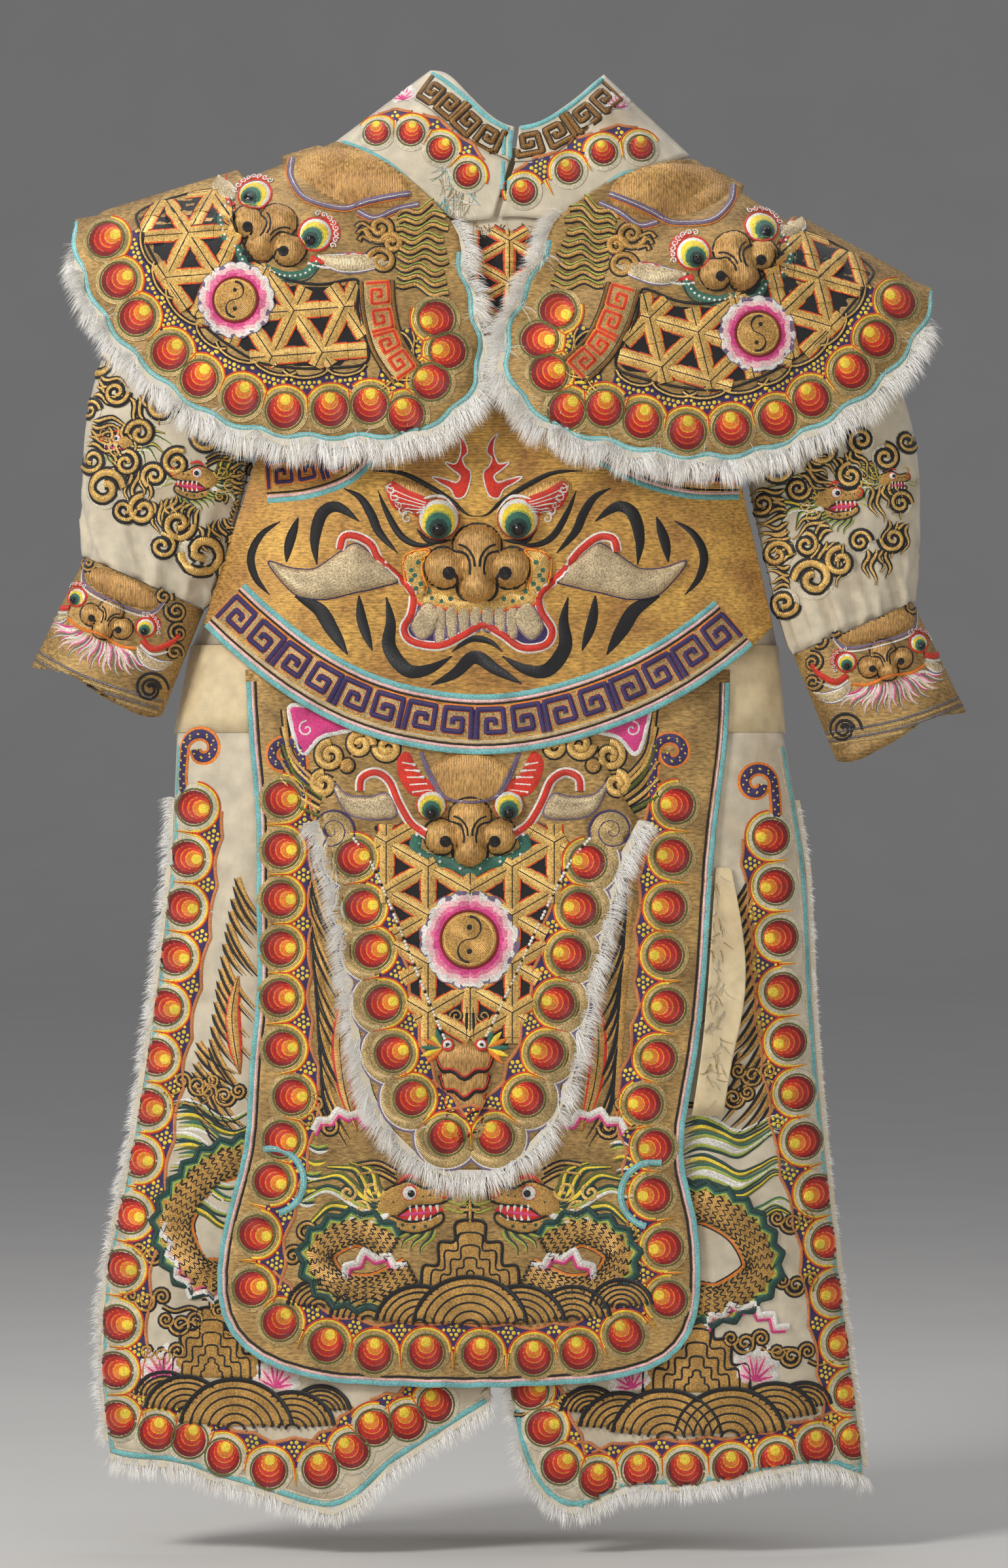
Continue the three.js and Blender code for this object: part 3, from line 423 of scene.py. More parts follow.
    def beads(self, points, radius, gap, tint, lift):
        """A row of small glass beads."""
        for x, z in along(points, gap / self.size):
            self.disc(x, z, radius, tint, lift, 0.9 * radius * self.size, 6, BEAD)

    def make(self):
        """Makes the piece."""
        mesh = soft_mesh(self.name, self.points, self.faces, self.tints)
        for finish in ("silk", "metal", "bead"):
            mesh.materials.append(FINISHES[finish])
        mesh.polygons.foreach_set("material_index", self.finishes)
        run = mesh.attributes.new("run", "FLOAT", "POINT")
        run.data.foreach_set("value", self.runs)
        return finish_piece(self.name, mesh)


def soft_mesh(name, corners, faces, tints=()):
    """A mesh that is shaded softly, with a colour for each corner where tints are given."""
    mesh = bpy.data.meshes.new(name)
    mesh.from_pydata(corners, [], faces)
    mesh.polygons.foreach_set("use_smooth", [True] * len(faces))
    if len(tints):
        tint = mesh.attributes.new("tint", "FLOAT_COLOR", "POINT")
        tint.data.foreach_set("color", [share for t in tints for share in (*t, 1.0)])
    return mesh


def finish_piece(name, mesh):
    """Makes a piece of a mesh, which rides on the robe."""
    mesh.validate()
    mesh.update()
    piece = bpy.data.objects.new(name, mesh)
    bpy.context.scene.collection.objects.link(piece)
    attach(piece, "root")
    return piece


# Finishes


def add_node(tree, kind, inputs=None, **properties):
    """Adds a shader node. An input that is a socket is linked, and any other value is set."""
    node = tree.nodes.new(kind)
    for name, value in properties.items():
        setattr(node, name, value)
    for key, value in (inputs or {}).items():
        if isinstance(value, bpy.types.NodeSocket):
            tree.links.new(value, node.inputs[key])
        else:
            node.inputs[key].default_value = value
    return node


def noise(tree, where, scale, detail=2.0):
    """A cloudy pattern from 0 to 1."""
    inputs = {"Vector": where, "Scale": scale, "Detail": detail}
    return add_node(tree, "ShaderNodeTexNoise", inputs).outputs["Fac"]


def spread(tree, value, low, high, start=0.0, end=1.0):
    """Maps a value's range onto another one."""
    inputs = {"Value": value, "From Min": start, "From Max": end, "To Min": low, "To Max": high}
    return add_node(tree, "ShaderNodeMapRange", inputs).outputs["Result"]


def calculate(tree, operation, a, b):
    """One sum on two values."""
    return add_node(tree, "ShaderNodeMath", {0: a, 1: b}, operation=operation).outputs[0]


def blend_colours(tree, share, a, b, kind="MIX"):
    """Mixes two colours."""
    node = add_node(tree, "ShaderNodeMix", data_type="RGBA", blend_type=kind, clamp_result=False)
    for socket, value in zip((node.inputs[0], node.inputs[6], node.inputs[7]), (share, a, b)):
        if isinstance(value, bpy.types.NodeSocket):
            tree.links.new(value, socket)
        elif socket == node.inputs[0]:
            socket.default_value = value
        else:
            socket.default_value = (*value[:3], 1.0)
    return node.outputs[2]


def shaded(tree, colour, light):
    """A colour made darker or lighter by a value."""
    grey = add_node(tree, "ShaderNodeCombineXYZ", {"X": light, "Y": light, "Z": light}).outputs[0]
    return blend_colours(tree, 1.0, colour, grey, "MULTIPLY")


def new_finish(name, metallic=0.0, sheen=0.0, specular=0.5):
    """A material with its node tree, its shader and the place on the object."""
    material = bpy.data.materials.new(name)
    material.use_nodes = True
    shader = material.node_tree.nodes["Principled BSDF"]
    shader.inputs["Metallic"].default_value = metallic
    shader.inputs["Sheen Weight"].default_value = sheen
    shader.inputs["Sheen Roughness"].default_value = 0.5
    shader.inputs["Specular IOR Level"].default_value = specular
    where = add_node(material.node_tree, "ShaderNodeTexCoord").outputs["Object"]
    return material, material.node_tree, shader, where


def wire(tree, shader, colour, roughness, height, strength, distance):
    """Links a finish's colour, roughness and bump to its shader."""
    bump = add_node(tree, "ShaderNodeBump", {"Height": height, "Strength": strength, "Distance": distance})
    tree.links.new(colour, shader.inputs["Base Color"])
    tree.links.new(roughness, shader.inputs["Roughness"])
    tree.links.new(bump.outputs["Normal"], shader.inputs["Normal"])


def bands(tree, where, direction, pitch, wobble):
    """Laid lines a pitch apart, as a pattern from 0 to 1."""
    inputs = {"Vector": where, "Scale": math.pi / (10 * pitch), "Distortion": wobble, "Detail Scale": 1.5}
    return add_node(tree, "ShaderNodeTexWave", inputs, bands_direction=direction).outputs["Fac"]


def stitched_finish(name, metallic, pitch, painted_sparkle, low_rough, high_rough, sheen=0.0):
    """Embroidery in its own colours, with painted light and shade along its threads' twist and painted
    glints.
    """
    material, tree, shader, where = new_finish(name, metallic, sheen)
    tint = add_node(tree, "ShaderNodeAttribute", attribute_name="tint").outputs["Color"]
    run = add_node(tree, "ShaderNodeAttribute", attribute_name="run").outputs["Fac"]
    fleck = noise(tree, where, 700, 3.0)
    wobble = calculate(tree, "MULTIPLY", fleck, 2.2)
    phase = calculate(tree, "ADD", calculate(tree, "MULTIPLY", run, 2 * math.pi / pitch), wobble)
    twist = add_node(tree, "ShaderNodeMath", {0: phase}, operation="SINE").outputs[0]
    # The colour is darkened and lightened by painted light and shade along the twist, a random worn tone, and
    # painted glints on the flecks.
    painted_shading = spread(tree, twist, 1 - 0.35 * painted_sparkle, 1 + 0.3 * painted_sparkle, -1, 1)
    worn = spread(tree, noise(tree, where, 45, 4.0), 0.72, 1.2, 0.3, 0.7)
    painted_glint = spread(tree, fleck, 1 - 0.7 * painted_sparkle, 1 + 0.8 * painted_sparkle, 0.35, 0.65)
    light = calculate(tree, "MULTIPLY", calculate(tree, "MULTIPLY", painted_shading, worn), painted_glint)
    colour = shaded(tree, tint, light)
    roughness = spread(tree, fleck, low_rough, high_rough, 0.3, 0.7)
    height = calculate(tree, "ADD", twist, calculate(tree, "MULTIPLY", fleck, 1.5))
    wire(tree, shader, colour, roughness, height, 0.5, 0.0004)
    return material


def couched_finish(name, bright, dull, direction="Z", pitch=0.0013):
    """Cloth covered with laid metal thread, worn dull in places, with painted glints and painted shade along
    its laid rows.
    """
    material, tree, shader, where = new_finish(name, 0.35)
    laid = bands(tree, where, direction, pitch, 2.5)
    stretch = (0.4, 1.0, 1.3) if direction == "Z" else (1.3, 1.0, 0.4)
    stretched = add_node(tree, "ShaderNodeMapping", {"Vector": where, "Scale": stretch}).outputs[0]
    dashes = noise(tree, stretched, 420)
    patchy = spread(tree, noise(tree, where, 22, 6.0), 0.0, 1.0, 0.36, 0.64)
    ground = blend_colours(tree, patchy, bright, dull)
    # Painted sparkle on the dashes and painted light and shade along the laid rows darken and lighten the
    # gold.
    painted_sparkle = spread(tree, dashes, 0.66, 1.42, 0.32, 0.68)
    painted_glint = calculate(tree, "MULTIPLY", painted_sparkle, spread(tree, laid, 0.8, 1.14))
    colour = shaded(tree, ground, painted_glint)
    roughness = spread(tree, dashes, 0.34, 0.6, 0.3, 0.7)
    wire(tree, shader, colour, roughness, calculate(tree, "ADD", laid, dashes), 0.6, 0.0005)
    return material


def cloth_finish(name, colour, stain, weave, sheen, creases):
    """Plain woven cloth with stains and small creases."""
    material, tree, shader, where = new_finish(name, 0.0, sheen)
    across = bands(tree, where, "X", weave, 0.4)
    up = bands(tree, where, "Z", weave, 0.4)
    stained = spread(tree, noise(tree, where, 13, 6.0), 0.0, 0.5, 0.48, 0.74)
    ground = blend_colours(tree, stained, colour, stain)
    tone = spread(tree, noise(tree, where, 60, 4.0), 0.82, 1.12, 0.3, 0.7)
    finished = shaded(tree, ground, tone)
    stretched = add_node(tree, "ShaderNodeMapping", {"Vector": where, "Scale": (3.0, 3.0, 0.8)}).outputs[0]
    crease = calculate(tree, "MULTIPLY", noise(tree, stretched, 26, 3.0), creases)
    threads = calculate(tree, "MULTIPLY", calculate(tree, "ADD", across, up), 0.25)
    roughness = spread(tree, tone, 0.42, 0.62, 0.8, 1.15)
    wire(tree, shader, finished, roughness, calculate(tree, "ADD", threads, crease), 0.5, 0.0008)
    return material


FINISHES = {}


def make_finishes(look):
    """Makes the robe's materials once."""
    gold, satin, cotton = (tuple(colour) for colour in (look.gold, look.satin, look.cotton))
    FINISHES.update(
        silk=stitched_finish("silk thread", 0.0, 0.0011, 0.35, 0.4, 0.62, 0.08),
        metal=stitched_finish("metal thread", 0.4, 0.0014, 0.55, 0.28, 0.55),
        bead=stitched_finish("glass bead", 0.0, 0.004, 0.15, 0.12, 0.3),
        ground=couched_finish("couched ground", gold, dye(150, 118, 70)),
        belly=couched_finish("couched belly", dye(216, 168, 84), dye(176, 128, 68), "Z", 0.0015),
        pad=couched_finish("couched pads", dye(206, 160, 92), dye(176, 132, 76), "X", 0.0016),
        satin=cloth_finish("aged satin", satin, dye(156, 124, 82), 0.0007, 0.35, 1.0),
        cotton=cloth_finish("undyed cotton", cotton, dye(168, 132, 84), 0.0012, 0.15, 1.6),
        lining=cloth_finish("plain lining", dye(206, 190, 158), dye(172, 146, 104), 0.0009, 0.1, 1.2),
    )


# Cloth

# Each cut and sewn piece: its finish, slot and subdivision, the size in metres and the area in square
# metres of the cloth it was cut from, and how it is held
CLOTH = {
    "tunic_front": ("satin", "satin", 1, (0.56, 0.50), 0.244, "hung"),
    "tunic_back": ("satin", "satin", 1, (0.56, 0.50), 0.242, "hung"),
    "waistband": ("cotton", "cotton", 2, (1.36, 0.084), 0.113, "gathered"),
    "collar_left": ("satin", "satin", 2, (0.15, 0.040), 0.0057, "hung"),
    "collar_right": ("satin", "satin", 2, (0.15, 0.040), 0.0053, "hung"),
    "collar_back": ("satin", "satin", 2, (0.28, 0.040), 0.0109, "hung"),
    "yoke_left": ("satin", "satin", 2, (0.20, 0.085), 0.0139, "hung"),
    "yoke_right": ("satin", "satin", 2, (0.20, 0.085), 0.0134, "hung"),
    "yoke_back": ("satin", "satin", 2, (0.38, 0.070), 0.0207, "hung"),
    "cape_left": ("ground", "couched_gold", 2, (0.48, 0.40), 0.127, "draped"),
    "cape_right": ("ground", "couched_gold", 2, (0.48, 0.40), 0.128, "draped"),
    "sleeve_left": ("satin", "satin", 2, (0.41, 0.36), 0.124, "gathered"),
    "sleeve_right": ("satin", "satin", 2, (0.41, 0.36), 0.127, "gathered"),
    "cuff_left": ("ground", "couched_gold", 2, (0.33, 0.117), 0.037, "hung"),
    "cuff_right": ("ground", "couched_gold", 2, (0.33, 0.117), 0.037, "hung"),
    "belly_panel": ("belly", "couched_gold", 2, (0.62, 0.32), 0.148, "stretched"),
    "front_apron": ("ground", "couched_gold", 1, (0.50, 0.69), 0.297, "hung"),
    "tail_apron": ("ground", "couched_gold", 1, (0.31, 0.43), 0.095, "hung"),
    "leg_panel_left": ("satin", "satin", 2, (0.39, 0.74), 0.239, "hung"),
    "leg_panel_right": ("satin", "satin", 2, (0.38, 0.74), 0.231, "hung"),
    "torn_flap": ("cotton", "cotton", 2, (0.055, 0.24), 0.0076, "hung"),
    "back_panel": ("lining", "satin", 1, (0.48, 0.69), 0.296, "hung"),
}
SHARP = math.radians(50)
FOLD_START = 0.009  # how far from the cuff a sleeve's folds are full, in metres
FOLD_END = 0.085  # how far from the cuff they have faded out
FOLD_RISE = 2.0  # a fold's height in millimetres


def smooth_mesh(node, levels):
    """A CAD node's mesh in smooth quads, with its rims kept crisp."""
    work = bmesh.new()
    work.from_mesh(NODES[node].data)
    bmesh.ops.remove_doubles(work, verts=work.verts, dist=0.02 * MM)
    bmesh.ops.join_triangles(
        work, faces=work.faces, angle_face_threshold=SHARP, angle_shape_threshold=math.radians(70))
    crease = work.edges.layers.float.new("crease_edge")
    for edge in work.edges:
        if len(edge.link_faces) == 2 and edge.calc_face_angle() > SHARP:
            edge[crease] = 1.0
    mesh = bpy.data.meshes.new(node)
    work.to_mesh(mesh)
    work.free()
    carrier = bpy.data.objects.new("subdividing", mesh)
    bpy.context.scene.collection.objects.link(carrier)
    modifier = carrier.modifiers.new("smooth", "SUBSURF")
    modifier.levels = modifier.render_levels = levels
    shown = carrier.evaluated_get(bpy.context.evaluated_depsgraph_get())
    smoothed = bpy.data.meshes.new_from_object(shown)
    bpy.data.objects.remove(carrier)
    bpy.data.meshes.remove(mesh)
    if "crease_edge" in smoothed.attributes:
        smoothed.attributes.remove(smoothed.attributes["crease_edge"])
    smoothed.polygons.foreach_set("use_smooth", [True] * len(smoothed.polygons))
    smoothed.set_sharp_from_angle(angle=SHARP)
    return smoothed


def gather(mesh, band):
    """Presses the folds of a gathered seam into a sleeve, which fade out away from the band it is sewn to."""
    source = band.data
    corners = [vertex.co.copy() for vertex in source.vertices]
    tree = BVHTree.FromPolygons(corners, [tuple(face.vertices) for face in source.polygons])
    middle = sum(corners, Vector()) / len(corners)
    chance = random.Random(5)
    ranges = ((0.014, 0.027), (0, 6.3), (0.5, 1.0))
    waves = [[chance.uniform(*ends) for ends in ranges] for _ in range(5)]
    moves = []
    for vertex in mesh.vertices:
        away = tree.find_nearest(vertex.co)[3]
        fade = max(0.0, 1 - away / FOLD_END) * min(1.0, away / FOLD_START)
        run = vertex.co.x - middle.x + 0.35 * (vertex.co.z - middle.z)
        wave = sum(size * math.sin(2 * math.pi * run / pitch + start) for pitch, start, size in waves)
        outer = 1 if vertex.normal.y * (vertex.co.y - middle.y) > 0 else -1
        moves.append(vertex.normal * (outer * wave * fade * FOLD_RISE * MM))
    for vertex, move in zip(mesh.vertices, moves):
        vertex.co += move


PIECES = {}


def cut_cloth(node):
    """One cloth piece, which stands for its CAD node."""
    finish, slot, levels, flat, area, held = CLOTH[node]
    mesh = smooth_mesh(node, levels)
    if node.startswith("sleeve"):
        gather(mesh, NODES[node.replace("sleeve", "cuff")])
    mesh.materials.clear()
    mesh.materials.append(FINISHES[finish])
    piece = finish_piece(node + "_cloth", mesh)
    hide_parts(node)
    PIECES[node] = piece


def relief(name, surface, domes, replaced, cell=3.0):
    """Stuffed forms over a cloth, in one piece. A dome is x, z, half width, half height, turn and rise."""
    reach = max(max(dome[2:4]) for dome in domes) + 2 * cell
    low_x, low_z = (min(dome[k] for dome in domes) - reach for k in (0, 1))
    high_x, high_z = (max(dome[k] for dome in domes) + reach for k in (0, 1))
    columns = int((high_x - low_x) / cell) + 1
    rows = int((high_z - low_z) / cell) + 1

    def rise(x, z):
        total = 0.0
        for middle_x, middle_z, wide, tall, turned, height in domes:
            across, up = turned_by((x - middle_x, z - middle_z), -turned)
            out = (across / wide) ** 2 + (up / tall) ** 2
            if out < 1:
                total += (height * math.sqrt(1 - out)) ** 9
        return total ** (1 / 9)

    heights = [[rise(low_x + i * cell, low_z + j * cell) for i in range(columns)] for j in range(rows)]
    corners, faces, index = [], [], {}

    def corner(i, j):
        if (i, j) not in index:
            found = surface.hit(low_x + i * cell, low_z + j * cell)
            if found is None:
                index[i, j] = None
            else:
                level = heights[j][i] if heights[j][i] > 0 else -1.0
                index[i, j] = len(corners)
                corners.append(found[0] + found[1] * (level * MM))
        return index[i, j]

    for j in range(rows - 1):
        for i in range(columns - 1):
            square = ((i, j), (i + 1, j), (i + 1, j + 1), (i, j + 1))
            if any(heights[b][a] > 0 for a, b in square):
                face = [corner(a, b) for a, b in square]
                if None not in face:
                    faces.append(face)
    mesh = soft_mesh(name, corners, faces)
    mesh.materials.append(FINISHES["pad"])
    piece = finish_piece(name, mesh)
    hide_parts(*replaced)
    return piece


# Fur

# Each fur trim: the cloth it edges, the hairs' length in millimetres, and how many hairs stand on it
FURS = {
    "cape_fur_left": ("cape_left", 22, 7600),
    "cape_back_fur_left": ("cape_left", 20, 2600),
    "cape_fur_right": ("cape_right", 22, 7600),
    "cape_back_fur_right": ("cape_right", 20, 2600),
    "tail_fur": ("tail_apron", 22, 7600),
    "hem_fur_left": ("leg_panel_left", 16, 2400),
    "hem_fur_right": ("leg_panel_right", 16, 2400),
    "side_fur_left": ("leg_panel_left", 16, 3600),
    "side_fur_right": ("leg_panel_right", 8, 2200),
    "slit_fur": ("leg_panel_right", 15, 400),
}


def fur_trim(node, look):
    """Hairs that stand out from a cloth's edge, over a thin pelt."""
    carrier, reach, count = FURS[node]
    chance = random.Random(node)
    edge = Surface(PIECES[carrier])
    source = NODES[node].data
    source.calc_loop_triangles()
    triangles = [[source.vertices[i].co for i in t.vertices] for t in source.loop_triangles]
    areas = [0.5 * (b - a).cross(c - a).length for a, b, c in triangles]
    corners = []
    for place in (v.co for v in source.vertices):
        near = edge.tree.find_nearest(place)[0]
        corners.append(near + (place - near) * 0.5)
    tints = [TINTS["cream"]] * len(corners)
    faces = [tuple(t.vertices) for t in source.loop_triangles]
    tuft_pull = {}
    for _ in range(int(count * look.fur_density)):
        a, b, c = chance.choices(triangles, areas)[0]
        s, t = sorted((chance.random(), chance.random()))
        place = a * s + b * (t - s) + c * (1 - t)
        near = edge.tree.find_nearest(place)[0]
        way = place - near
        if way.length < 1e-5:
            continue
        way.normalize()
        tuft = (round(place.x / TUFT), round(place.z / TUFT))
        if tuft not in tuft_pull:
            tuft_pull[tuft] = Vector(chance.uniform(-1, 1) for _ in range(3)) * 0.55
        way = (way + tuft_pull[tuft] + Vector(chance.gauss(0, 0.22) for _ in range(3))).normalized()
        long = reach * MM * chance.uniform(0.55, 1.05)
        root = near + (place - near) * 0.25
        bend = Vector((0, 0, -0.35 * long))
        middle = root + way * 0.55 * long + bend * 0.25
        tip = root + way * long + bend
        side = way.cross(Vector((0, 1, 0.3))).normalized() * (0.28 * MM)
        first = len(corners)
        corners += [root - side, root + side, middle - side * 0.8, middle + side * 0.8, tip]
        faces += [(first, first + 1, first + 3, first + 2), (first + 2, first + 3, first + 4)]
        # Each hair is painted darker at its root and lighter at its tip: painted shade among the hairs and
        # painted highlight on the tips. Its tone is random.
        tone = chance.uniform(0.86, 1.1)
        tints += [tuple(tone * share * painted_shading for share in look.fur) for painted_shading in (0.78, 0.78, 1.0, 1.0, 1.1)]
    mesh = soft_mesh(node, corners, faces, tints)
    mesh.materials.append(FINISHES["fur"])
    piece = finish_piece(node + "_hairs", mesh)
    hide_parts(node)


def fur_finish():
    """Soft white hairs in the tones painted on them, with painted shade at their roots and painted highlight
    at their tips.
    """
    material, tree, shader, where = new_finish("rabbit fur", 0.0, 0.4, 0.3)
    tint = add_node(tree, "ShaderNodeAttribute", attribute_name="tint").outputs["Color"]
    grubby = spread(tree, noise(tree, where, 30, 4.0), 0.0, 0.3, 0.5, 0.75)
    colour = blend_colours(tree, grubby, tint, dye(214, 198, 168))
    roughness = spread(tree, noise(tree, where, 200), 0.6, 0.8)
    wire(tree, shader, colour, roughness, noise(tree, where, 900), 0.2, 0.0002)
    return material


# Motifs that several panels share

JEWEL_DISCS = (
    (1.0, "dark red", 0.0),
    (0.87, "scarlet", 0.12),
    (0.82, "crimson", 0.155),
    (0.69, "orange", 0.28),
    (0.64, "red", 0.315),
    (0.52, "amber", 0.43),
    (0.47, "orange", 0.46),
    (0.32, "yellow", 0.6),
)
HALO = 6.2  # how far a jewel's plain ring reaches beyond its silk discs


def jewel(work, x, z, toward, radius, ring):
    """A round flame jewel: silk discs that crowd towards one side like crescents, in a plain ring."""
    work.disc(x, z, radius + HALO, ring, 0.8, 0.8)
    work.thread(arc(x, z, radius + 1.0, 0, 342), 2.0, "olive", lift=1.7, closed=True)
    for step, (share, tint, shift) in enumerate(JEWEL_DISCS):
        at_x, at_z = x + toward[0] * shift * radius, z + toward[1] * shift * radius
        work.disc(at_x, at_z, radius * share, tint, 1.7 + 0.26 * step, 0.25)


def unit(a, b):
    """The direction from one place to another."""
    length = math.hypot(b[0] - a[0], b[1] - a[1]) or 1.0
    return ((b[0] - a[0]) / length, (b[1] - a[1]) / length)


def jewel_row(work, places, side, radius=17.0, ring="khaki", scalloped=False):
    """A row of jewels, with a dotted purple band and a cord on the field's side.

    The field is on the row's left where side is 1. The cord is an orange braid, or black and gold scallops.
    """
    tails = []
    for a, b in zip(places[:-1], places[1:]):
        way = unit(a, b)
        toward = (-side * way[1], side * way[0])
        pitch = math.dist(a, b)

        def out(share, reach):
            x, z = between(a, b, share)
            return (x + toward[0] * reach, z + toward[1] * reach)

        def edge(share):
            if scalloped:
                return radius + 21.5 - 8 * math.sin(math.pi * share) ** 0.6
            return radius + 10 + 4 * (1 - abs(2 * share - 1)) ** 1.6

        cord = [out(k / 8, edge(k / 8)) for k in range(9)]
        work.patch([*cord, out(1, 2), out(0, 2)], "purple", 0.5, 0.1, 4.0, straight=True)
        for row in range(8):
            reach = 5 + 4.2 * row
            for k in range(-5, 6):
                share = 0.5 + (k + 0.5 * (row % 2)) * 4.8 / pitch
                if not 0 <= share <= 1 or reach > edge(share) - 3.4:
                    continue
                x, z = out(share, reach)
                if min(math.dist((x, z), a), math.dist((x, z), b)) > radius + HALO + 3.4:
                    work.disc(x, z, 1.5 + 0.5 * ((k + row) % 2), "yellow", 1.0, 0.8, around=7)
        if scalloped:
            work.thread(cord, 5.4, "black", 0.6, 0.8)
            work.thread(cord, 2.4, "bright gold", 1.3, 0.8)
        else:
            work.thread(cord, 3.4, "braid", 0.6, 1.2)
        notch = math.sqrt(max(0.0, (radius + HALO + 1) ** 2 - (pitch / 2) ** 2))
        tails.append([out(0.5, notch + 2), out(0.5, notch - 5), out(0.5, notch - 15)])
    for k, (x, z) in enumerate(places):
        before, after = places[max(0, k - 1)], places[min(len(places) - 1, k + 1)]
        way = unit(before, after)
        toward = (-side * way[1], side * way[0])
        jewel(work, x, z, toward, radius, ring)
        start = math.degrees(math.atan2(toward[1], toward[0]))
        pitch = math.dist(before, after) / (2 if 0 < k < len(places) - 1 else 1)
        span = 90 - math.degrees(math.acos(min(1.0, 0.5 * pitch / (radius + HALO + 1))))
        for reach, tint, width in ((HALO + 1.9, "scarlet", 1.8), (HALO + 0.2, "yellow", 2.2)):
            work.thread(arc(x, z, radius + reach, start - span, start + span), width, tint, lift=1.0)
    for tail in tails:
        work.thread(tail, 3.8, "yellow", 1.3, 0.7, TIP)
        work.thread(tail, 1.6, "scarlet", 1.9, 0.5, TIP)


def ribbon(work, path):
    """A flat ribbon sewn along a line, with its stitches."""
    work.thread(path, 4.5, "turquoise", 0.4, 0.5)
    work.thread(path, 0.7, "white", 0.9, 0.25)


def scroll(work, points, width, tint="gold", lift=0.3, edge=1.6):
    """A thick line of couched metal thread with a dark outline."""
    work.thread(points, width + 2 * edge / work.size, "black", lift, 0.7)
    work.thread(points, width, tint, lift + 0.5, finish=METAL)


def curl(work, x, z, radius, turns, start, hand, width, tint="gold"):
    """A couched spiral with a dark outline."""
    scroll(work, spiral(x, z, radius, turns, start, hand, 0.2), width, tint)


def lattice(work, region, origin, side, turned, bar=15.0):
    """A weave of three-armed bars over a dark ground, with a small dark triangle between each three."""
    work.patch(region, "black", 0.0, 0.2, 8.0, straight=True)
    rim = np.array(region)
    reach = float(np.hypot(*(rim.max(0) - rim.min(0))))
    count = int(reach / side) + 2
    for i in range(-count, count + 1):
        for j in range(-count, count + 1):
            across, up = turned_by((side * (i + 0.5 * j), side * j * math.sqrt(3) / 2), turned)
            middle = (origin[0] + across, origin[1] + up)
            for angle in (60, 180, 300, 0, 120, 240):
                lift = 0.7 if angle % 120 == 0 else 0.0
                way = turned_by((0.5 * side, 0), turned + angle)
                steps = np.linspace(0, 1, 9)[:, None]
                line = np.array([middle]) + steps * np.array([way])
                kept = line[inside(line, rim)]
                if len(kept) < 3:
                    continue
                ends = [tuple(kept[0]), tuple(kept[-1])]
                for width, tint, level, rise in (
                    (bar + 3.6, "black", 0.2, 0.2),
                    (bar + 1.6, "scarlet", 0.4, 0.3),
                    (bar - 0.6, "yellow", 0.6, 0.3),
                    (bar - 1.8, "bright gold", 0.7, 0.9),
                    (2.4, "black", 1.5, 0.4),
                ):
                    work.thread(ends, width, tint, level + lift, rise, straight=True, step=8)


def key_fret(work, line, tall, pitch, tint, edge, width, side=1, lift=0.3):
    """A key fret that runs along a line, mirrored in pairs. It stands on the line's left."""
    path = along(line, 2.0)
    lengths = np.concatenate([[0], np.cumsum(np.hypot(*np.diff(path, axis=0).T))])
    ways = offset_ways(path)
    units = max(1, round(lengths[-1] / pitch))
    pitch = lengths[-1] / units
    shape = (
        (0.08, 0.0), (0.08, 1.0), (0.86, 1.0), (0.86, 0.22), (0.34, 0.22), (0.34, 0.66), (0.62, 0.66),
        (0.62, 0.46))

    def place(run, up):
        x, z = (np.interp(run, lengths, path[:, k]) for k in (0, 1))
        w = [np.interp(run, lengths, ways[:, k]) for k in (0, 1)]
        return (x + side * w[0] * up, z + side * w[1] * up)

    for k in range(units):
        turned = k % 2
        points = [place((k + (1 - a if turned else a)) * pitch, b * tall) for a, b in shape]
        work.thread(points, width + 2.2, edge, lift, 0.5, straight=True)
        work.thread(points, width, tint, lift + 0.4, straight=True)


def medallion(work, x, z, radius):
    """A round medallion of two curled halves, in a ring of eight shaded petals."""
    for k in range(8):
        with work.moved(x, z, 45 * (k + 0.5) - 90):
            for reach, tint, lift in ((1.74, "violet", 2.2), (1.7, "white", 2.4), (1.56, "pink", 2.8),
                                      (1.4, "rose", 3.2), (1.26, "magenta", 3.6)):
                half = 0.38 * radius * reach
                right = [
                    (0.55 * half, radius * reach), (half, radius * (reach - 0.2)),
                    (0.86 * half, radius * (reach - 0.5)), (0.5 * half, 0.8 * radius)]
                outline = [*((-a, b) for a, b in reversed(right)), (0, radius * (reach - 0.06)), *right]
                work.patch(outline, tint, lift, 0.4, 5.0, slant=90)
    work.disc(x, z, radius, "gold", 4.0, 2.4)
    work.thread(arc(x, z, radius, 0, 342), 2.8, "dark red", 4.4, closed=True)
    work.thread(arc(x, z, 0.86 * radius, 0, 342), 2.2, "bright gold", 5.6, closed=True)
    half = 0.4 * radius
    halves = arc(x, z + half, half, 90, -90) + arc(x, z - half, half, 90, 270)[1:]
    work.thread(halves, 2.6, "black", 6.2, 0.6)
    for up in (0.42, -0.42):
        work.disc(x, z + up * radius, 0.11 * radius, "black", 6.2, 0.5, around=10)


def wave_fans(work, fans):
    """Broad waves of six nested arcs, which overlap like scales. Each is a grid place and a radius."""
    for order, (across, down, reach) in enumerate(fans):
        x, z = spot(across, down)
        level = 0.8 * (order // 2)
        work.patch(arc(x, z, reach, 172, 8, 0.9), "gold", 0.4 + level, 1.2, 5.0)
        for k in range(6):
            share = 1 - k / 6
            work.thread(
                arc(x, z, reach * share, 172, 8, 0.9), 4.2 if k == 0 else 2.8, "black", 1.6 + level, 0.7)


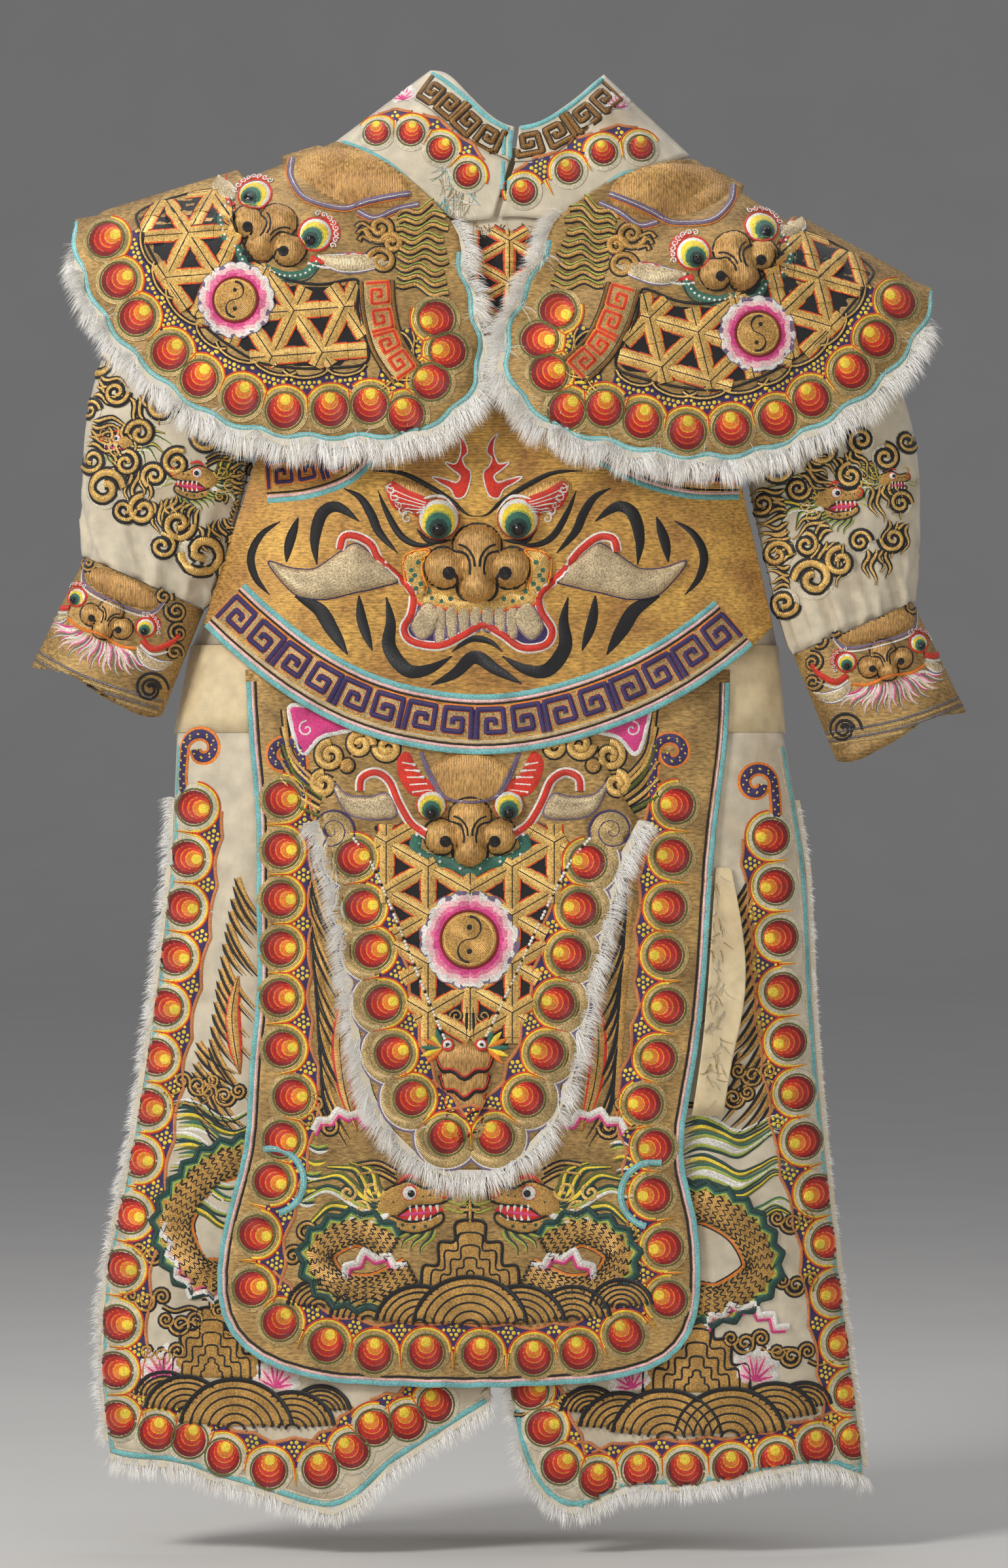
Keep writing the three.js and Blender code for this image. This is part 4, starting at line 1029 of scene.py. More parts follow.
def mountain(work, x, z, size):
    """A stepped mountain of five nested arches with a small cross on top."""
    for k in range(5):
        half, tall = (44 - 8.5 * k) * size, (62 - 11 * k) * size
        steps = [
            (-half, 0), (-0.96 * half, 0.36 * tall), (-0.66 * half, 0.38 * tall),
            (-0.64 * half, 0.7 * tall), (-0.32 * half, 0.72 * tall), (-0.28 * half, tall)]
        outline = [(x + a, z + b) for a, b in steps] + [(x - a, z + b) for a, b in reversed(steps)]
        if k == 0:
            work.patch(outline, "gold", 0.3, 0.8, 6.0, straight=True)
        work.thread(outline, 2.8 * size, "black", 1.0, 0.8)
    top = z + 62 * size
    for a, b in (((x - 9 * size, top + 11 * size), (x + 9 * size, top + 11 * size)),
                 ((x, top), (x, top + 20 * size))):
        scroll(work, [a, b], 3.4 * size)


def lotus(work, x, z, size, turned=0):
    """A shaded lotus seen from the side."""
    with work.moved(x, z, turned, size):
        for lean, reach in ((-72, 22), (72, 22), (-44, 27), (44, 27), (-18, 31), (18, 31), (0, 27)):
            tip = turned_by((0, reach), -lean)
            left, right = turned_by((-7.5, 0.55 * reach), -lean), turned_by((7.5, 0.55 * reach), -lean)
            work.patch([(0, 0), left, tip, right], "white", 0.4, 0.7, 4.0)
            petal = ((left, 0.25), (tip, 0.12), (right, 0.25))
            inner = [between(place, (0, 0), share) for place, share in petal]
            work.patch([(0, 0), *inner], "pink", 0.9, 0.5, 4.0)
            work.thread([(0, 0), between((0, 0), tip, 0.7)], 4.2, "magenta", 1.3, 0.5, LEAF)


def lock(work, root, heading, reach, tints, width, sway, turns=1.0):
    """A wavy lock of several colours, from its root out."""
    for k, tint in enumerate(tints):
        aside = (k - (len(tints) - 1) / 2) * width * 0.85
        points = []
        for i in range(7):
            share = i / 6
            wave = sway * reach * math.sin(share * math.pi * 2 * turns) * (0.4 + 0.6 * share)
            points.append((reach * share, aside * (1 - 0.75 * share) + wave))
        placed = [turned_by(p, heading) for p in points]
        work.thread([(root[0] + a, root[1] + b) for a, b in placed], width, tint, 0.5 + 0.1 * k, 0.8, BLADE)


EYE_RINGS = (
    (1.0, "white", 0.0),
    (0.88, "yellow", 0.11),
    (0.72, "lime", 0.27),
    (0.66, "green", 0.32),
    (0.5, "dark green", 0.46),
)


def eye(work, x, z, radius):
    """A round eye in shaded rings that crowd towards its foot, with a glass bead for its pupil and a white
    dot on it as a painted highlight.
    """
    work.thread(arc(x, z, 1.06 * radius, 0, 342), 2.2, "red", 0.9, closed=True)
    for step, (share, tint, drop) in enumerate(EYE_RINGS):
        work.disc(x, z - drop * radius, share * radius, tint, 0.8 + 0.5 * step, 0.8)
    work.disc(x, z - 0.52 * radius, 0.3 * radius, "black", 3.2, 2.4, finish=BEAD)
    # This small white dot on the pupil is a painted highlight on the glass bead.
    work.disc(x - 0.08 * radius, z - 0.44 * radius, 0.07 * radius, "white", 5.4, 0.4, around=6, finish=BEAD)


def brow(work, x, z, radius, hand):
    """A red crest with white curls, around the top of an eye."""
    crest = arc(x, z, 1.42 * radius, 100 - hand * 100, 100 + hand * 20)
    work.thread(crest, 0.62 * radius, "red", 0.5, 1.0, LEAF)
    for k, (a, b) in enumerate(along(crest, 0.42 * radius)):
        work.thread(spiral(a, b, 0.22 * radius, 1.2, 60 * k, hand, 0.2), 0.1 * radius, "white", 1.6)


def tusk(work, points, width):
    """A leaf-shaped tusk of silver thread with a pale outline."""
    work.thread(points, width + 5, "violet", 0.2, 0.8, LEAF)
    work.thread(points, width + 2.4, "white", 0.8, 0.6, LEAF)
    work.thread(points, width, "silver", 1.2, 1.2, LEAF)


# A beast's nose, drawn about its middle for a nose that is 320 wide: stuffed domes, and the cords on them
NOSE_DOMES = (
    (0, 56, 76, 68, 0, 62), (0, -10, 50, 84, 0, 68), (-2, -72, 54, 48, 0, 70), (-102, -12, 66, 62, 0, 58),
    (102, -12, 66, 62, 0, 58))
# The black cords outline the nostrils, the bridge and the tip. The two laid in the creases beside the bridge
# are painted shade.
NOSE_CORDS_AND_CREASE_SHADE = (
    (13, ((-66, 38), (-110, 54), (-152, 34), (-166, -10), (-150, -56), (-108, -78), (-72, -70), (-62, -44),
          (-84, -22), (-98, -18))),
    (11, ((-76, 40), (-72, 84), (-40, 118), (0, 128))),
    (11, ((-66, 40), (-34, 28), (-22, -8), (-24, -34))),
    (9, ((-58, 60), (-34, 50), (-12, 20), (-8, -10))),
    (12, ((-64, -50), (-60, -92), (-34, -118), (0, -124))),
)


def placed_domes(domes, middle, step):
    """Domes drawn about a middle in steps, for relief."""
    placed = []
    for x, z, wide, tall, turned, rise in domes:
        placed.append((middle[0] + x * step, middle[1] + z * step, wide * step, tall * step, turned, rise))
    return placed


def nose_domes(x, z, step, turned=0):
    """The domes of a beast's nose about a place, for relief."""
    domes = []
    for dx, dz, wide, tall, _, rise in NOSE_DOMES:
        across, up = turned_by((dx * step, dz * step), turned)
        domes.append((x + across, z + up, wide * step, tall * step, turned, rise * step))
    return domes


def nose_cords_and_crease_shade(work, step):
    """The dark cords round a beast's nose and nostrils, and the painted shade laid as black cords in its
    creases.
    """
    with work.moved(0, 0, 0, step):
        for hand in (1, -1):
            for width, line in NOSE_CORDS_AND_CREASE_SHADE:
                work.thread(mirrored(line, hand), max(width, 1.9 / work.size), "black", 0.1, 0.9)
            work.disc(hand * 88, -30, 22, "black", 0.3, 0.6)


def small_beast(work):
    """The lesser beasts' face about its snout, without the snout's own pad. One unit is a millimetre."""
    for hand in (-1, 1):
        eye(work, 36 * hand, 24, 15)
        brow(work, 36 * hand, 24, 14, hand)
        work.thread(
            [(46 * hand, 2), (62 * hand, 10), (74 * hand, 26), (86 * hand, 34), (98 * hand, 26)], 7, "red",
            0.5, 1.0, TIP)
        work.thread([(46 * hand, -3), (64 * hand, 4), (78 * hand, 20), (88 * hand, 27)], 2.4, "white", 0.7)
        tusk(work, [(50 * hand, 8), (70 * hand, 14), (92 * hand, 30), (108 * hand, 42)], 17)
    nose_cords_and_crease_shade(work, 0.24)
    beard = [(-52, 8), (-50, -12), (-34, -26), (-16, -30), (0, -38), (16, -30), (34, -26), (50, -12), (52, 8)]
    work.thread(beard, 9, "green", 0.2, 1.0)
    work.beads(beard, 1.3, 5, "white", 1.6)
    work.thread([(1.1 * x, z - 4) for x, z in beard], 2, "dark green", 0.3)


def dragon_head(work, x, z, hand, size):
    """A dragon's head that faces right where hand is 1, with its mane blown back."""
    with work.moved(x, z, 0, size, hand < 0):
        locks = ((160, 74), (176, 84), (192, 78), (206, 66), (144, 62), (222, 52), (128, 48))
        for k, (lean, reach) in enumerate(locks):
            tints = ("dark green", "lime", "white") if k % 2 else ("olive", "yellow", "dark green")
            lock(work, (-16, 4), lean, reach, tints, 5.6, 0.12, 1.2)
        face = [(-26, -4), (-20, 14), (0, 22), (16, 16), (34, 19), (38, 8), (26, 2), (4, 0), (-8, -8)]
        work.patch(face, "gold", 0.6, 2.0, 4.0)
        work.thread(face[1:], 2.2, "black", 1.2)
        curls = ((-30, 14, 10, 0), (-40, -4, 9, 120), (-28, -18, 10, 240), (-52, 12, 8, 60))
        for a, b, radius, start in curls:
            curl(work, a, b, radius, 1.3, start, -1, 4.4, "bright gold")
        work.patch([(-10, -8), (4, -1), (24, 1), (32, -4), (20, -9), (4, -12)], "red", 0.5, 0.8, 4.0)
        work.thread([(-8, -8), (8, -6), (26, -4)], 3.4, "magenta", 1.3, 0.6, LEAF)
        jaw = [(-14, -8), (0, -13), (18, -11), (30, -5), (30, -14), (10, -23), (-10, -20)]
        work.patch(jaw, "gold", 0.7, 1.6, 4.0)
        work.thread(jaw, 2.2, "black", 1.2)
        for step in range(5):
            tooth = 2 + 6 * step
            work.thread([(tooth, 1.5), (tooth + 1, -5)], 3.4, "white", 1.4, 0.8, TIP)
            work.thread([(tooth, -12), (tooth + 1, -7)], 3.0, "white", 1.4, 0.8, TIP)
        work.disc(2, 12, 8.0, "red", 2.2, 0.6)
        work.disc(2, 12, 6.6, "white", 2.6, 0.8)
        work.disc(3.5, 11.5, 3.4, "black", 3.2, 1.4, finish=BEAD)
        for a, b in ((14, 9), (20, 10), (26, 11), (-12, 4), (-4, -16), (6, -18), (16, -17)):
            work.disc(a, b, 1.6, "dark green", 2.6, 0.5, around=7)
        work.thread([(30, 17), (36, 24), (30, 30), (22, 26)], 3.6, "bright gold", 1.6, shape=TIP)
        work.thread([(-8, 20), (0, 27), (12, 24)], 4, "red", 1.6, shape=LEAF)
        work.thread(spiral(31, 12, 7, 1.1, 90, -1), 2.0, "red", 2.4)
        for k in range(8):
            lock(work, (24 - 6 * k, -19 + 1.2 * k), -118 - 6 * k, 26, ("dark green", "lime"), 3.4, 0.1)
        for rise_by in (0, 8):
            scroll(work, [(-10, 22 + rise_by), (-26, 30 + rise_by), (-44, 28 + rise_by)], 3.2)
        for drop in (0, 7):
            work.thread(
                [(34, 6 - drop), (48, 2 - drop), (56, 10 - drop), (66, 6 - drop)], 2.2, "lime", 0.9,
                shape=TIP)


def fin(work, points, spread_out, tints=("white", "pink", "magenta")):
    """A jagged fin along a line, in three shades."""
    path = along(points, 10)
    ways = offset_ways(path)
    hand = 1 if spread_out > 0 else -1
    for reach, width, tint in zip((0.0, -3.2, -5.8), (6.0, 4.0, 3.4), tints):
        line = []
        for k, ((x, z), (a, b)) in enumerate(zip(path, ways)):
            out = (spread_out if k % 2 else 0) + reach * hand
            line.append((x + a * out, z + b * out))
        work.thread(line, width, tint, 1.0, straight=True)


def dragon_body(work, points, hand, width):
    """A coiled body along a line, couched in rows, with a green fin on its left where hand is 1."""
    fin(work, offset(points, hand * (0.5 * width + 3)), 6.0 * hand, ("dark green", "green", "lime"))
    work.thread(points, width + 7, "black", 0.2, 0.5)
    work.thread(points, width + 4, "orange", 0.5, 0.6)
    work.thread(points, width, "gold", 0.8, 1.4)
    spine = along(points, 8.0)
    for (x, z), (a, b) in zip(spine, offset_ways(spine)):
        for k in range(-2, 3):
            scale = []
            for aside, back in ((-0.46, -2.6), (0, 2.6), (0.46, -2.6)):
                reach = 0.19 * width * (k + aside)
                scale.append((x + a * reach + b * back, z + b * reach - a * back))
            work.thread(scale, 1.6, "black", 2.2, 0.4)


# Panels


def cape_place(point):
    """A place on the left cape's drawing, put on the right shoulder, which hangs 12 degrees lower."""
    x, z = -(point[0] + 164), point[1] + 3
    c, s = math.cos(math.radians(12)), math.sin(math.radians(12))
    return (185 + x * c + z * s, -20 - x * s + z * c)


CAPE_RIM = spots(
    (60, 270), (80, 345), (112, 418), (150, 480), (210, 530), (270, 570), (330, 585), (385, 594),
    (456, 585), (505, 600), (565, 572), (605, 540), (640, 480), (640, 420), (615, 375), (600, 318))
CAPE_JEWELS = spots(
    (132, 301), (150, 356), (174, 404), (217, 450), (255, 484), (309, 509), (364, 526), (423, 524),
    (473, 519), (519, 532), (551, 490), (572, 450), (557, 408))
CAPE_FIELD = spots(
    (162, 264), (196, 242), (262, 226), (296, 240), (306, 270), (314, 300), (336, 330), (372, 350),
    (410, 356), (462, 352), (466, 400), (480, 450), (470, 474), (430, 480), (380, 480), (330, 472),
    (290, 450), (252, 420), (218, 384), (192, 340), (172, 300))
CAPE_SNOUT = (-222, -98, -35)


def stitch_cape(name, side):
    """One cape's snout, jewels, lattice, beast and flower."""
    place = cape_place if side > 0 else (lambda point: point)
    cloth = PIECES["cape_" + name]
    domes = nose_domes(*place(CAPE_SNOUT[:2]), 0.24, CAPE_SNOUT[2] if side < 0 else -12 - CAPE_SNOUT[2])
    for across in (-36, 36):
        dx, dz = turned_by((across, 22), CAPE_SNOUT[2])
        domes.append((*place((CAPE_SNOUT[0] + dx, CAPE_SNOUT[1] + dz)), 16, 16, 0, 4))
    x, z = place(spot(449, 222))
    domes.append((x, z, 58, 26, -20 if side < 0 else 8, 9))
    snout = relief(
        "cape_" + name + "_relief", Surface(cloth), domes, ["cape_snout_" + name, "cape_flower_" + name])
    surface = Surface(cloth, snout)
    work = Stitching("cape_" + name + "_stitching", surface)
    rim = surface.rim([place(p) for p in CAPE_RIM][:: 1 if side < 0 else -1], 1.5)
    ribbon(work, rim)
    work.place = place
    jewel_row(work, CAPE_JEWELS, 1, scalloped=True)
    field = [tuple(p) for p in offset(CAPE_FIELD, -6.5, True)]
    lattice(work, field, spot(240, 296), 48, 4)
    work.thread(field, 2.6, "black", 1.0, closed=True)
    medallion(work, *spot(302, 384), 21)
    with work.moved(*CAPE_SNOUT):
        small_beast(work)
    for x, z, radius, hand in ((485, 291, 14, 1), (500, 310, 10, -1), (487, 334, 13, -1)):
        curl(work, *spot(x, z), radius, 1.5, 180, hand, 6.0)
    for k in range(9):
        root, tip = spot(506 + 2 * (k % 2), 274 + 11 * k), spot(566 + 3 * (k % 3), 258 + 15 * k)
        strip = []
        for step in range(9):
            x, z = between(root, tip, step / 8)
            strip.append((x, z + 3.2 * math.sin(step * 1.25 + 0.5 * k)))
        work.thread([(x, z + 3.4) for x, z in strip], 2.0, "lime", 0.5)
        scroll(work, strip, 4.4, edge=1.3)
    for k in range(3):
        scroll(work, spots((454 + 2 * k, 290 + 9 * k), (462, 284 + 9 * k), (474, 292 + 8 * k)), 3.6)
    for line in (((369, 193), (369, 219), (383, 246), (404, 258), (438, 264), (466, 256), (522, 246)),
                 ((456, 268), (478, 277), (506, 266), (534, 260))):
        cord = spots(*line)
        work.thread(cord, 6.0, "violet", 0.6)
        work.thread(cord, 2.6, "white", 1.4)
        work.thread(offset(cord, -3.6), 1.2, "orange", 0.8)
    strip = spots((464, 362), (468, 406), (480, 450), (506, 490))
    for reach, tint, width in ((-2, "brown gold", 3.4), (27, "brown gold", 3.0)):
        work.thread(offset(strip, reach), width + 2.4, "black", 1.2, 0.6)
        work.thread(offset(strip, reach), width, tint, 2.0, 0.8)
    work.thread(offset(strip, 12.5), 25, "khaki", 1.0, 1.2)
    key_fret(work, offset(strip, 2.5), 20, 24, "red", "orange", 3.4, 1, 2.0)
    work.make()


MASK_STEP = 0.3016  # the belly mask is drawn about its nose, in steps of this many millimetres
MASK_AT = spot(608.8, 720.1)
TUSK = (
    (-660, 10), (-590, -10), (-520, -15), (-480, 5), (-430, 40), (-380, 65), (-320, 20), (-240, -45),
    (-320, -75), (-390, -90), (-480, -110), (-560, -100), (-610, -60))
CHEEK = (
    (-226, 24), (-230, -20), (-216, -70), (-182, -100), (-160, -78), (-172, -30), (-168, 12), (-150, 44),
    (-190, 42))
CHIN_FRILL = (
    (-186, -92), (-150, -116), (-116, -112), (-84, -124), (-44, -136), (0, -130), (44, -136), (84, -124),
    (116, -112), (150, -116), (186, -92))
MASK_DOMES = (
    (-196, -30, 40, 76, 10, 5), (196, -30, 40, 76, -10, 5), (-121, 142, 66, 64, 0, 13),
    (129, 144, 66, 64, 0, 13), (-205, 214, 92, 44, -24, 8), (210, 216, 92, 44, 24, 8))
CHIN_SPOTS = (
    (-206, -20), (-206, -50), (-192, -76), (-170, -92), (-142, -108), (-186, 4), (-112, -116), (-84, -110),
    (-196, -36), (-178, -62), (-154, -84))
# The mask's black stripes on the left half: widest width, then the line
MASK_STRIPES = (
    (26, ((-420, 240), (-370, 212), (-335, 160), (-308, 100), (-250, 35))),
    (20, ((-312, 232), (-285, 165), (-240, 90), (-185, 60), (-120, 66))),
    (36, ((-505, 0), (-512, 80), (-490, 160), (-440, 182), (-372, 136))),
    (30, ((-602, 8), (-592, 72), (-565, 150))),
    (26, ((-655, -95), (-700, -40), (-716, 30), (-682, 98), (-622, 138))),
    (42, ((-575, -100), (-500, -140), (-460, -200), (-408, -284))),
    (30, ((-372, -98), (-362, -180), (-330, -272))),
    (42, ((-286, -104), (-272, -180), (-276, -262), (-220, -334), (-150, -330), (-80, -290))),
    (16, ((-190, 112), (-150, 72), (-80, 76))),
    (16, ((-330, 295), (-240, 288), (-160, 250), (-80, 200), (-34, 158), (0, 150))),
)
MOUTH = (
    (-432, 42), (-420, 86), (-380, 88), (-334, 62), (-312, 20), (-268, -20), (-226, -60), (-200, -100),
    (-208, -160), (-230, -202), (-206, -242), (-120, -256), (-42, -222), (16, -192), (78, -220),
    (140, -262), (214, -254), (236, -208), (202, -150), (196, -100), (232, -60), (282, -10), (322, 40),
    (380, 84), (428, 80), (440, 40))
FLAME = (
    (-65, 415), (-40, 388), (-30, 355), (-46, 334), (-38, 310), (-20, 290), (-24, 252), (-40, 214),
    (-68, 208), (-84, 236), (-118, 256), (-142, 276), (-100, 268), (-66, 258), (-54, 278), (-78, 298),
    (-102, 322), (-72, 316), (-60, 330), (-52, 356), (-54, 385))


def belly_tusks(surface):
    """The belly mask's two stuffed tusks, in one padded piece."""
    work = Stitching("belly_tusks", surface)
    with work.moved(*MASK_AT, 0, MASK_STEP):
        for hand in (1, -1):
            outline = mirrored(TUSK, hand)
            work.patch(outline, "silver", 0.4, 9, 3.0, domed=True, slant=80)
            work.thread(outline, 6, "purple", 0.3, closed=True)
    piece = work.make()
    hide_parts("belly_tusk_left", "belly_tusk_right")
    return piece


def belly_band(work, rim):
    """The ribbons and key fret that run along the belly panel's hem."""
    for inset, tint, width in ((2.5, "turquoise", 5), (6.5, "pink", 2.4), (9, "black", 2), (12, "silver", 3),
                               (48, "black", 2), (50.5, "pink", 2.4), (54.5, "turquoise", 5)):
        work.thread(offset(rim, inset), width, tint, 0.3, 0.5, finish=SILK)
    work.thread(offset(rim, 30), 34, "khaki", 0.1, 0.3)
    key_fret(work, offset(rim, 14.5), 28, 36, "purple", "orange", 5.6)


def stitch_belly():
    """The belly panel: a horned beast's mask with bands of key fret."""
    cloth = PIECES["belly_panel"]
    domes = placed_domes(MASK_DOMES, MASK_AT, MASK_STEP) + nose_domes(*MASK_AT, MASK_STEP)
    parts = ["belly_nose", "belly_nostril_left", "belly_nostril_right", "belly_eye_left", "belly_eye_right"]
    mask = relief("belly_mask", Surface(cloth), domes, parts, 2.5)
    tusks = belly_tusks(Surface(cloth, mask))
    surface = Surface(cloth, mask, tusks)
    work = Stitching("belly_stitching", surface)
    hem = surface.rim(
        spots((255, 800), (290, 862), (375, 910), (509, 965), (640, 978), (760, 955), (855, 918),
        (930, 868), (972, 836)), 0)
    belly_band(work, hem)
    for side, corner in ((1, ((340, 637), (395, 632), (450, 612), (488, 572))),
                         (-1, ((945, 632), (880, 632), (815, 616), (756, 584)))):
        line = spots(*corner)
        for inset, tint, width in ((0, "turquoise", 5), (4, "pink", 2.4), (7, "black", 2)):
            work.thread(offset(line, side * inset), width, tint, 0.3, 0.5)
        key_fret(work, offset(line, side * 11), 26, 30, "purple", "orange", 4.6, side)
    with work.moved(*MASK_AT, 0, MASK_STEP):
        for width, line in MASK_STRIPES:
            for hand in (1, -1):
                work.thread(mirrored(line, hand), width * 1.15, "black", 0.2, 0.7, LEAF)
        work.thread(
            [(-145, -380), (-70, -344), (-8, -292), (60, -332), (140, -376)], 44, "black", 0.2, 0.7, LEAF)
        work.thread([(-80, -276), (-20, -236), (40, -244), (80, -276)], 22, "black", 0.2, 0.7, LEAF)
        inner = MOUTH[7:20]
        work.patch([*inner, (150, -118), (0, -138), (-160, -118)], "purple", 0.2, 0.3, 4.0)
        for k in range(7):
            x = -118 + 38 * k
            foot = -222 + 26 * math.cos((x - 10) / 62)
            work.patch(
                [(x - 17, -138), (x + 17, -138), (x + 16, foot), (x, foot - 14), (x - 16, foot)], "silver",
                0.6, 1.6, 3.0)
            work.thread(
                [(x - 18, -138), (x - 16, foot), (x, foot - 15), (x + 16, foot), (x + 18, -138)], 6,
                "violet", 1.0)
        for hand in (1, -1):
            fang = mirrored(
                ((-158, -120), (-120, -150), (-128, -200), (-172, -238), (-208, -200), (-188, -150)), hand)
            work.patch(fang, "silver", 0.8, 2.6, 3.0)
            work.thread(fang, 6, "violet", 1.2, closed=True)
        work.thread(MOUTH, 33, "white", 0.4, 1.0)
        work.thread(MOUTH, 24, "red", 1.0, 1.4)
        work.thread(CHIN_FRILL, 44, "bright gold", 0.3, 1.4)
        work.thread([(1.05 * x, z - 24) for x, z in CHIN_FRILL], 13, "red", 0.5)
        work.thread([(1.05 * x, z - 19) for x, z in CHIN_FRILL], 6, "orange", 1.4)
        for hand in (1, -1):
            cheek = mirrored(CHEEK, hand)
            work.patch(cheek, "bright gold", 0.5, 1.0, 3.0)
            work.thread(cheek, 13, "red", 0.6, closed=True)
            work.thread(cheek, 6, "amber", 1.6, closed=True)
        nose_cords_and_crease_shade(work, 1.0)
        for hand in (1, -1):
            for x, z in CHIN_SPOTS:
                work.disc(hand * x, z, 9, "green", 1.6, 0.9, around=8)
            flame = mirrored(FLAME, hand)
            work.patch(flame, "red", 0.4, 0.9, 3.0)
            work.thread(flame, 5, "white", 0.8, closed=True)
            eye_at = (-121, 142) if hand > 0 else (129, 144)
            eye(work, *eye_at, 60)
            fan = mirrored(
                ((-150, 200), (-215, 232), (-270, 262), (-286, 232), (-262, 176), (-208, 162), (-190, 150)),
                hand)
            work.patch(fan, "red", 0.6, 1.2, 4.0)
            for k in range(5):
                x, z = -284 + 12 * k, 244 - 23 * k
                work.thread(
                    [(hand * -160, 192 - 8 * k), (hand * -220, 214 - 12 * k), (hand * x, z)], 6, "white",
                    1.6)
                work.thread(spiral(hand * (x + 16), z - 8, 16, 1.2, 90, hand), 5, "white", 1.8)
            work.thread(
                [(hand * -60, 156), (hand * -110, 212), (hand * -180, 202)], 12, "white", 1.4, shape=LEAF)
    work.make()


def feathers(work, spine, lean, reach, count, bend):
    """Long dark strokes that hang from a line and bend outwards, with metal thread between them."""
    path = along(spine, 4)
    for k in range(count):
        x, z = path[int(k * (len(path) - 1) / (count - 1))]
        long = reach * (0.75 + 0.25 * math.sin(1.9 * k))
        points = [
            (0, 0), (0.33 * long, bend * 0.12 * long), (0.66 * long, bend * 0.45 * long),
            (long, bend * long)]
        stroke = [turned_by((a, b), lean) for a, b in points]
        work.thread([(x + a + 2.4, z + b) for a, b in stroke], 6.4, "gold", 0.2, 0.8, TIP)
        work.thread([(x + a - 1.2, z + b) for a, b in stroke], 3.8, "black", 0.9, 0.8, BLADE)


def long_leaf(work, points, width):
    """A long couched leaf with a red edge."""
    work.thread(points, width + 4, "yellow", 0.2, 0.6, LEAF)
    work.thread(points, width + 2, "red", 0.7, 0.6, LEAF)
    work.thread(points, width - 2, "gold", 1.0, 1.0, LEAF)
    work.thread(points, 1.6, "black", 2.0, 0.4, LEAF)


def cloud(work, x, z, flip):
    """A curled cloud: three spirals and a trailing line."""
    with work.moved(x, z, 0, 0.8, flip):
        for a, b, radius, start, hand in ((0, 0, 13, 180, 1), (19, 5, 10, 200, -1), (-17, 6, 9, 0, -1)):
            curl(work, a, b, radius, 1.5, start, hand, 4.2)
        scroll(work, [(20, -6), (34, -12), (52, -8), (66, -14)], 3.6)


def hook(work, x, z, size, hand):
    """The dotted hook that ends a row of jewels."""
    with work.moved(x, z, 0, size, hand < 0):
        line = [(18, -44), (20, -30), *spiral(0, 0, 20, 1.15, -60, 1, 0.32)[2:]]
        work.thread(line, 15, "orange", 0.2, 0.6)
        work.thread(line, 12, "dark red", 0.4, 0.6)
        work.thread(line, 10, "purple", 0.8, 0.6)
        for k, (a, b) in enumerate(along(line, 4.6)):
            work.disc(a + (1.8 if k % 2 else -1.8), b, 1.3, "yellow", 1.5, 0.6, around=6)


APRON_EDGE = spots(
    (310, 870), (320, 960), (330, 1050), (325, 1150), (335, 1250), (320, 1350), (313, 1468), (290, 1540),
    (280, 1600), (275, 1650), (295, 1700), (330, 1730), (400, 1765), (600, 1768), (740, 1770), (850, 1740),
    (900, 1650), (890, 1560), (868, 1500), (865, 1400), (880, 1320), (890, 1250), (900, 1100), (915, 950),
    (930, 870))
APRON_JEWELS = spots(
    (360, 1019), (359, 1084), (358, 1147), (358, 1209), (357, 1272), (361, 1337), (373, 1397), (360, 1452),
    (347, 1505), (328, 1572), (322, 1641), (358, 1684), (418, 1712), (478, 1724), (544, 1722), (613, 1724),
    (681, 1728), (738, 1722), (797, 1700), (852, 1655), (847, 1589), (833, 1522), (835, 1462), (821, 1407),
    (839, 1349), (851, 1284), (848, 1218), (852, 1157), (858, 1092), (863, 1027))


def edge_lines(work, surface, path, lines):
    """Ribbons and cords along a cloth's rim. Each row is inset, colour and width."""
    rim = surface.rim(path, 0)
    for inset, tint, width in lines:
        work.thread(offset(rim, inset), width, tint, 0.3, 0.6, finish=SILK)


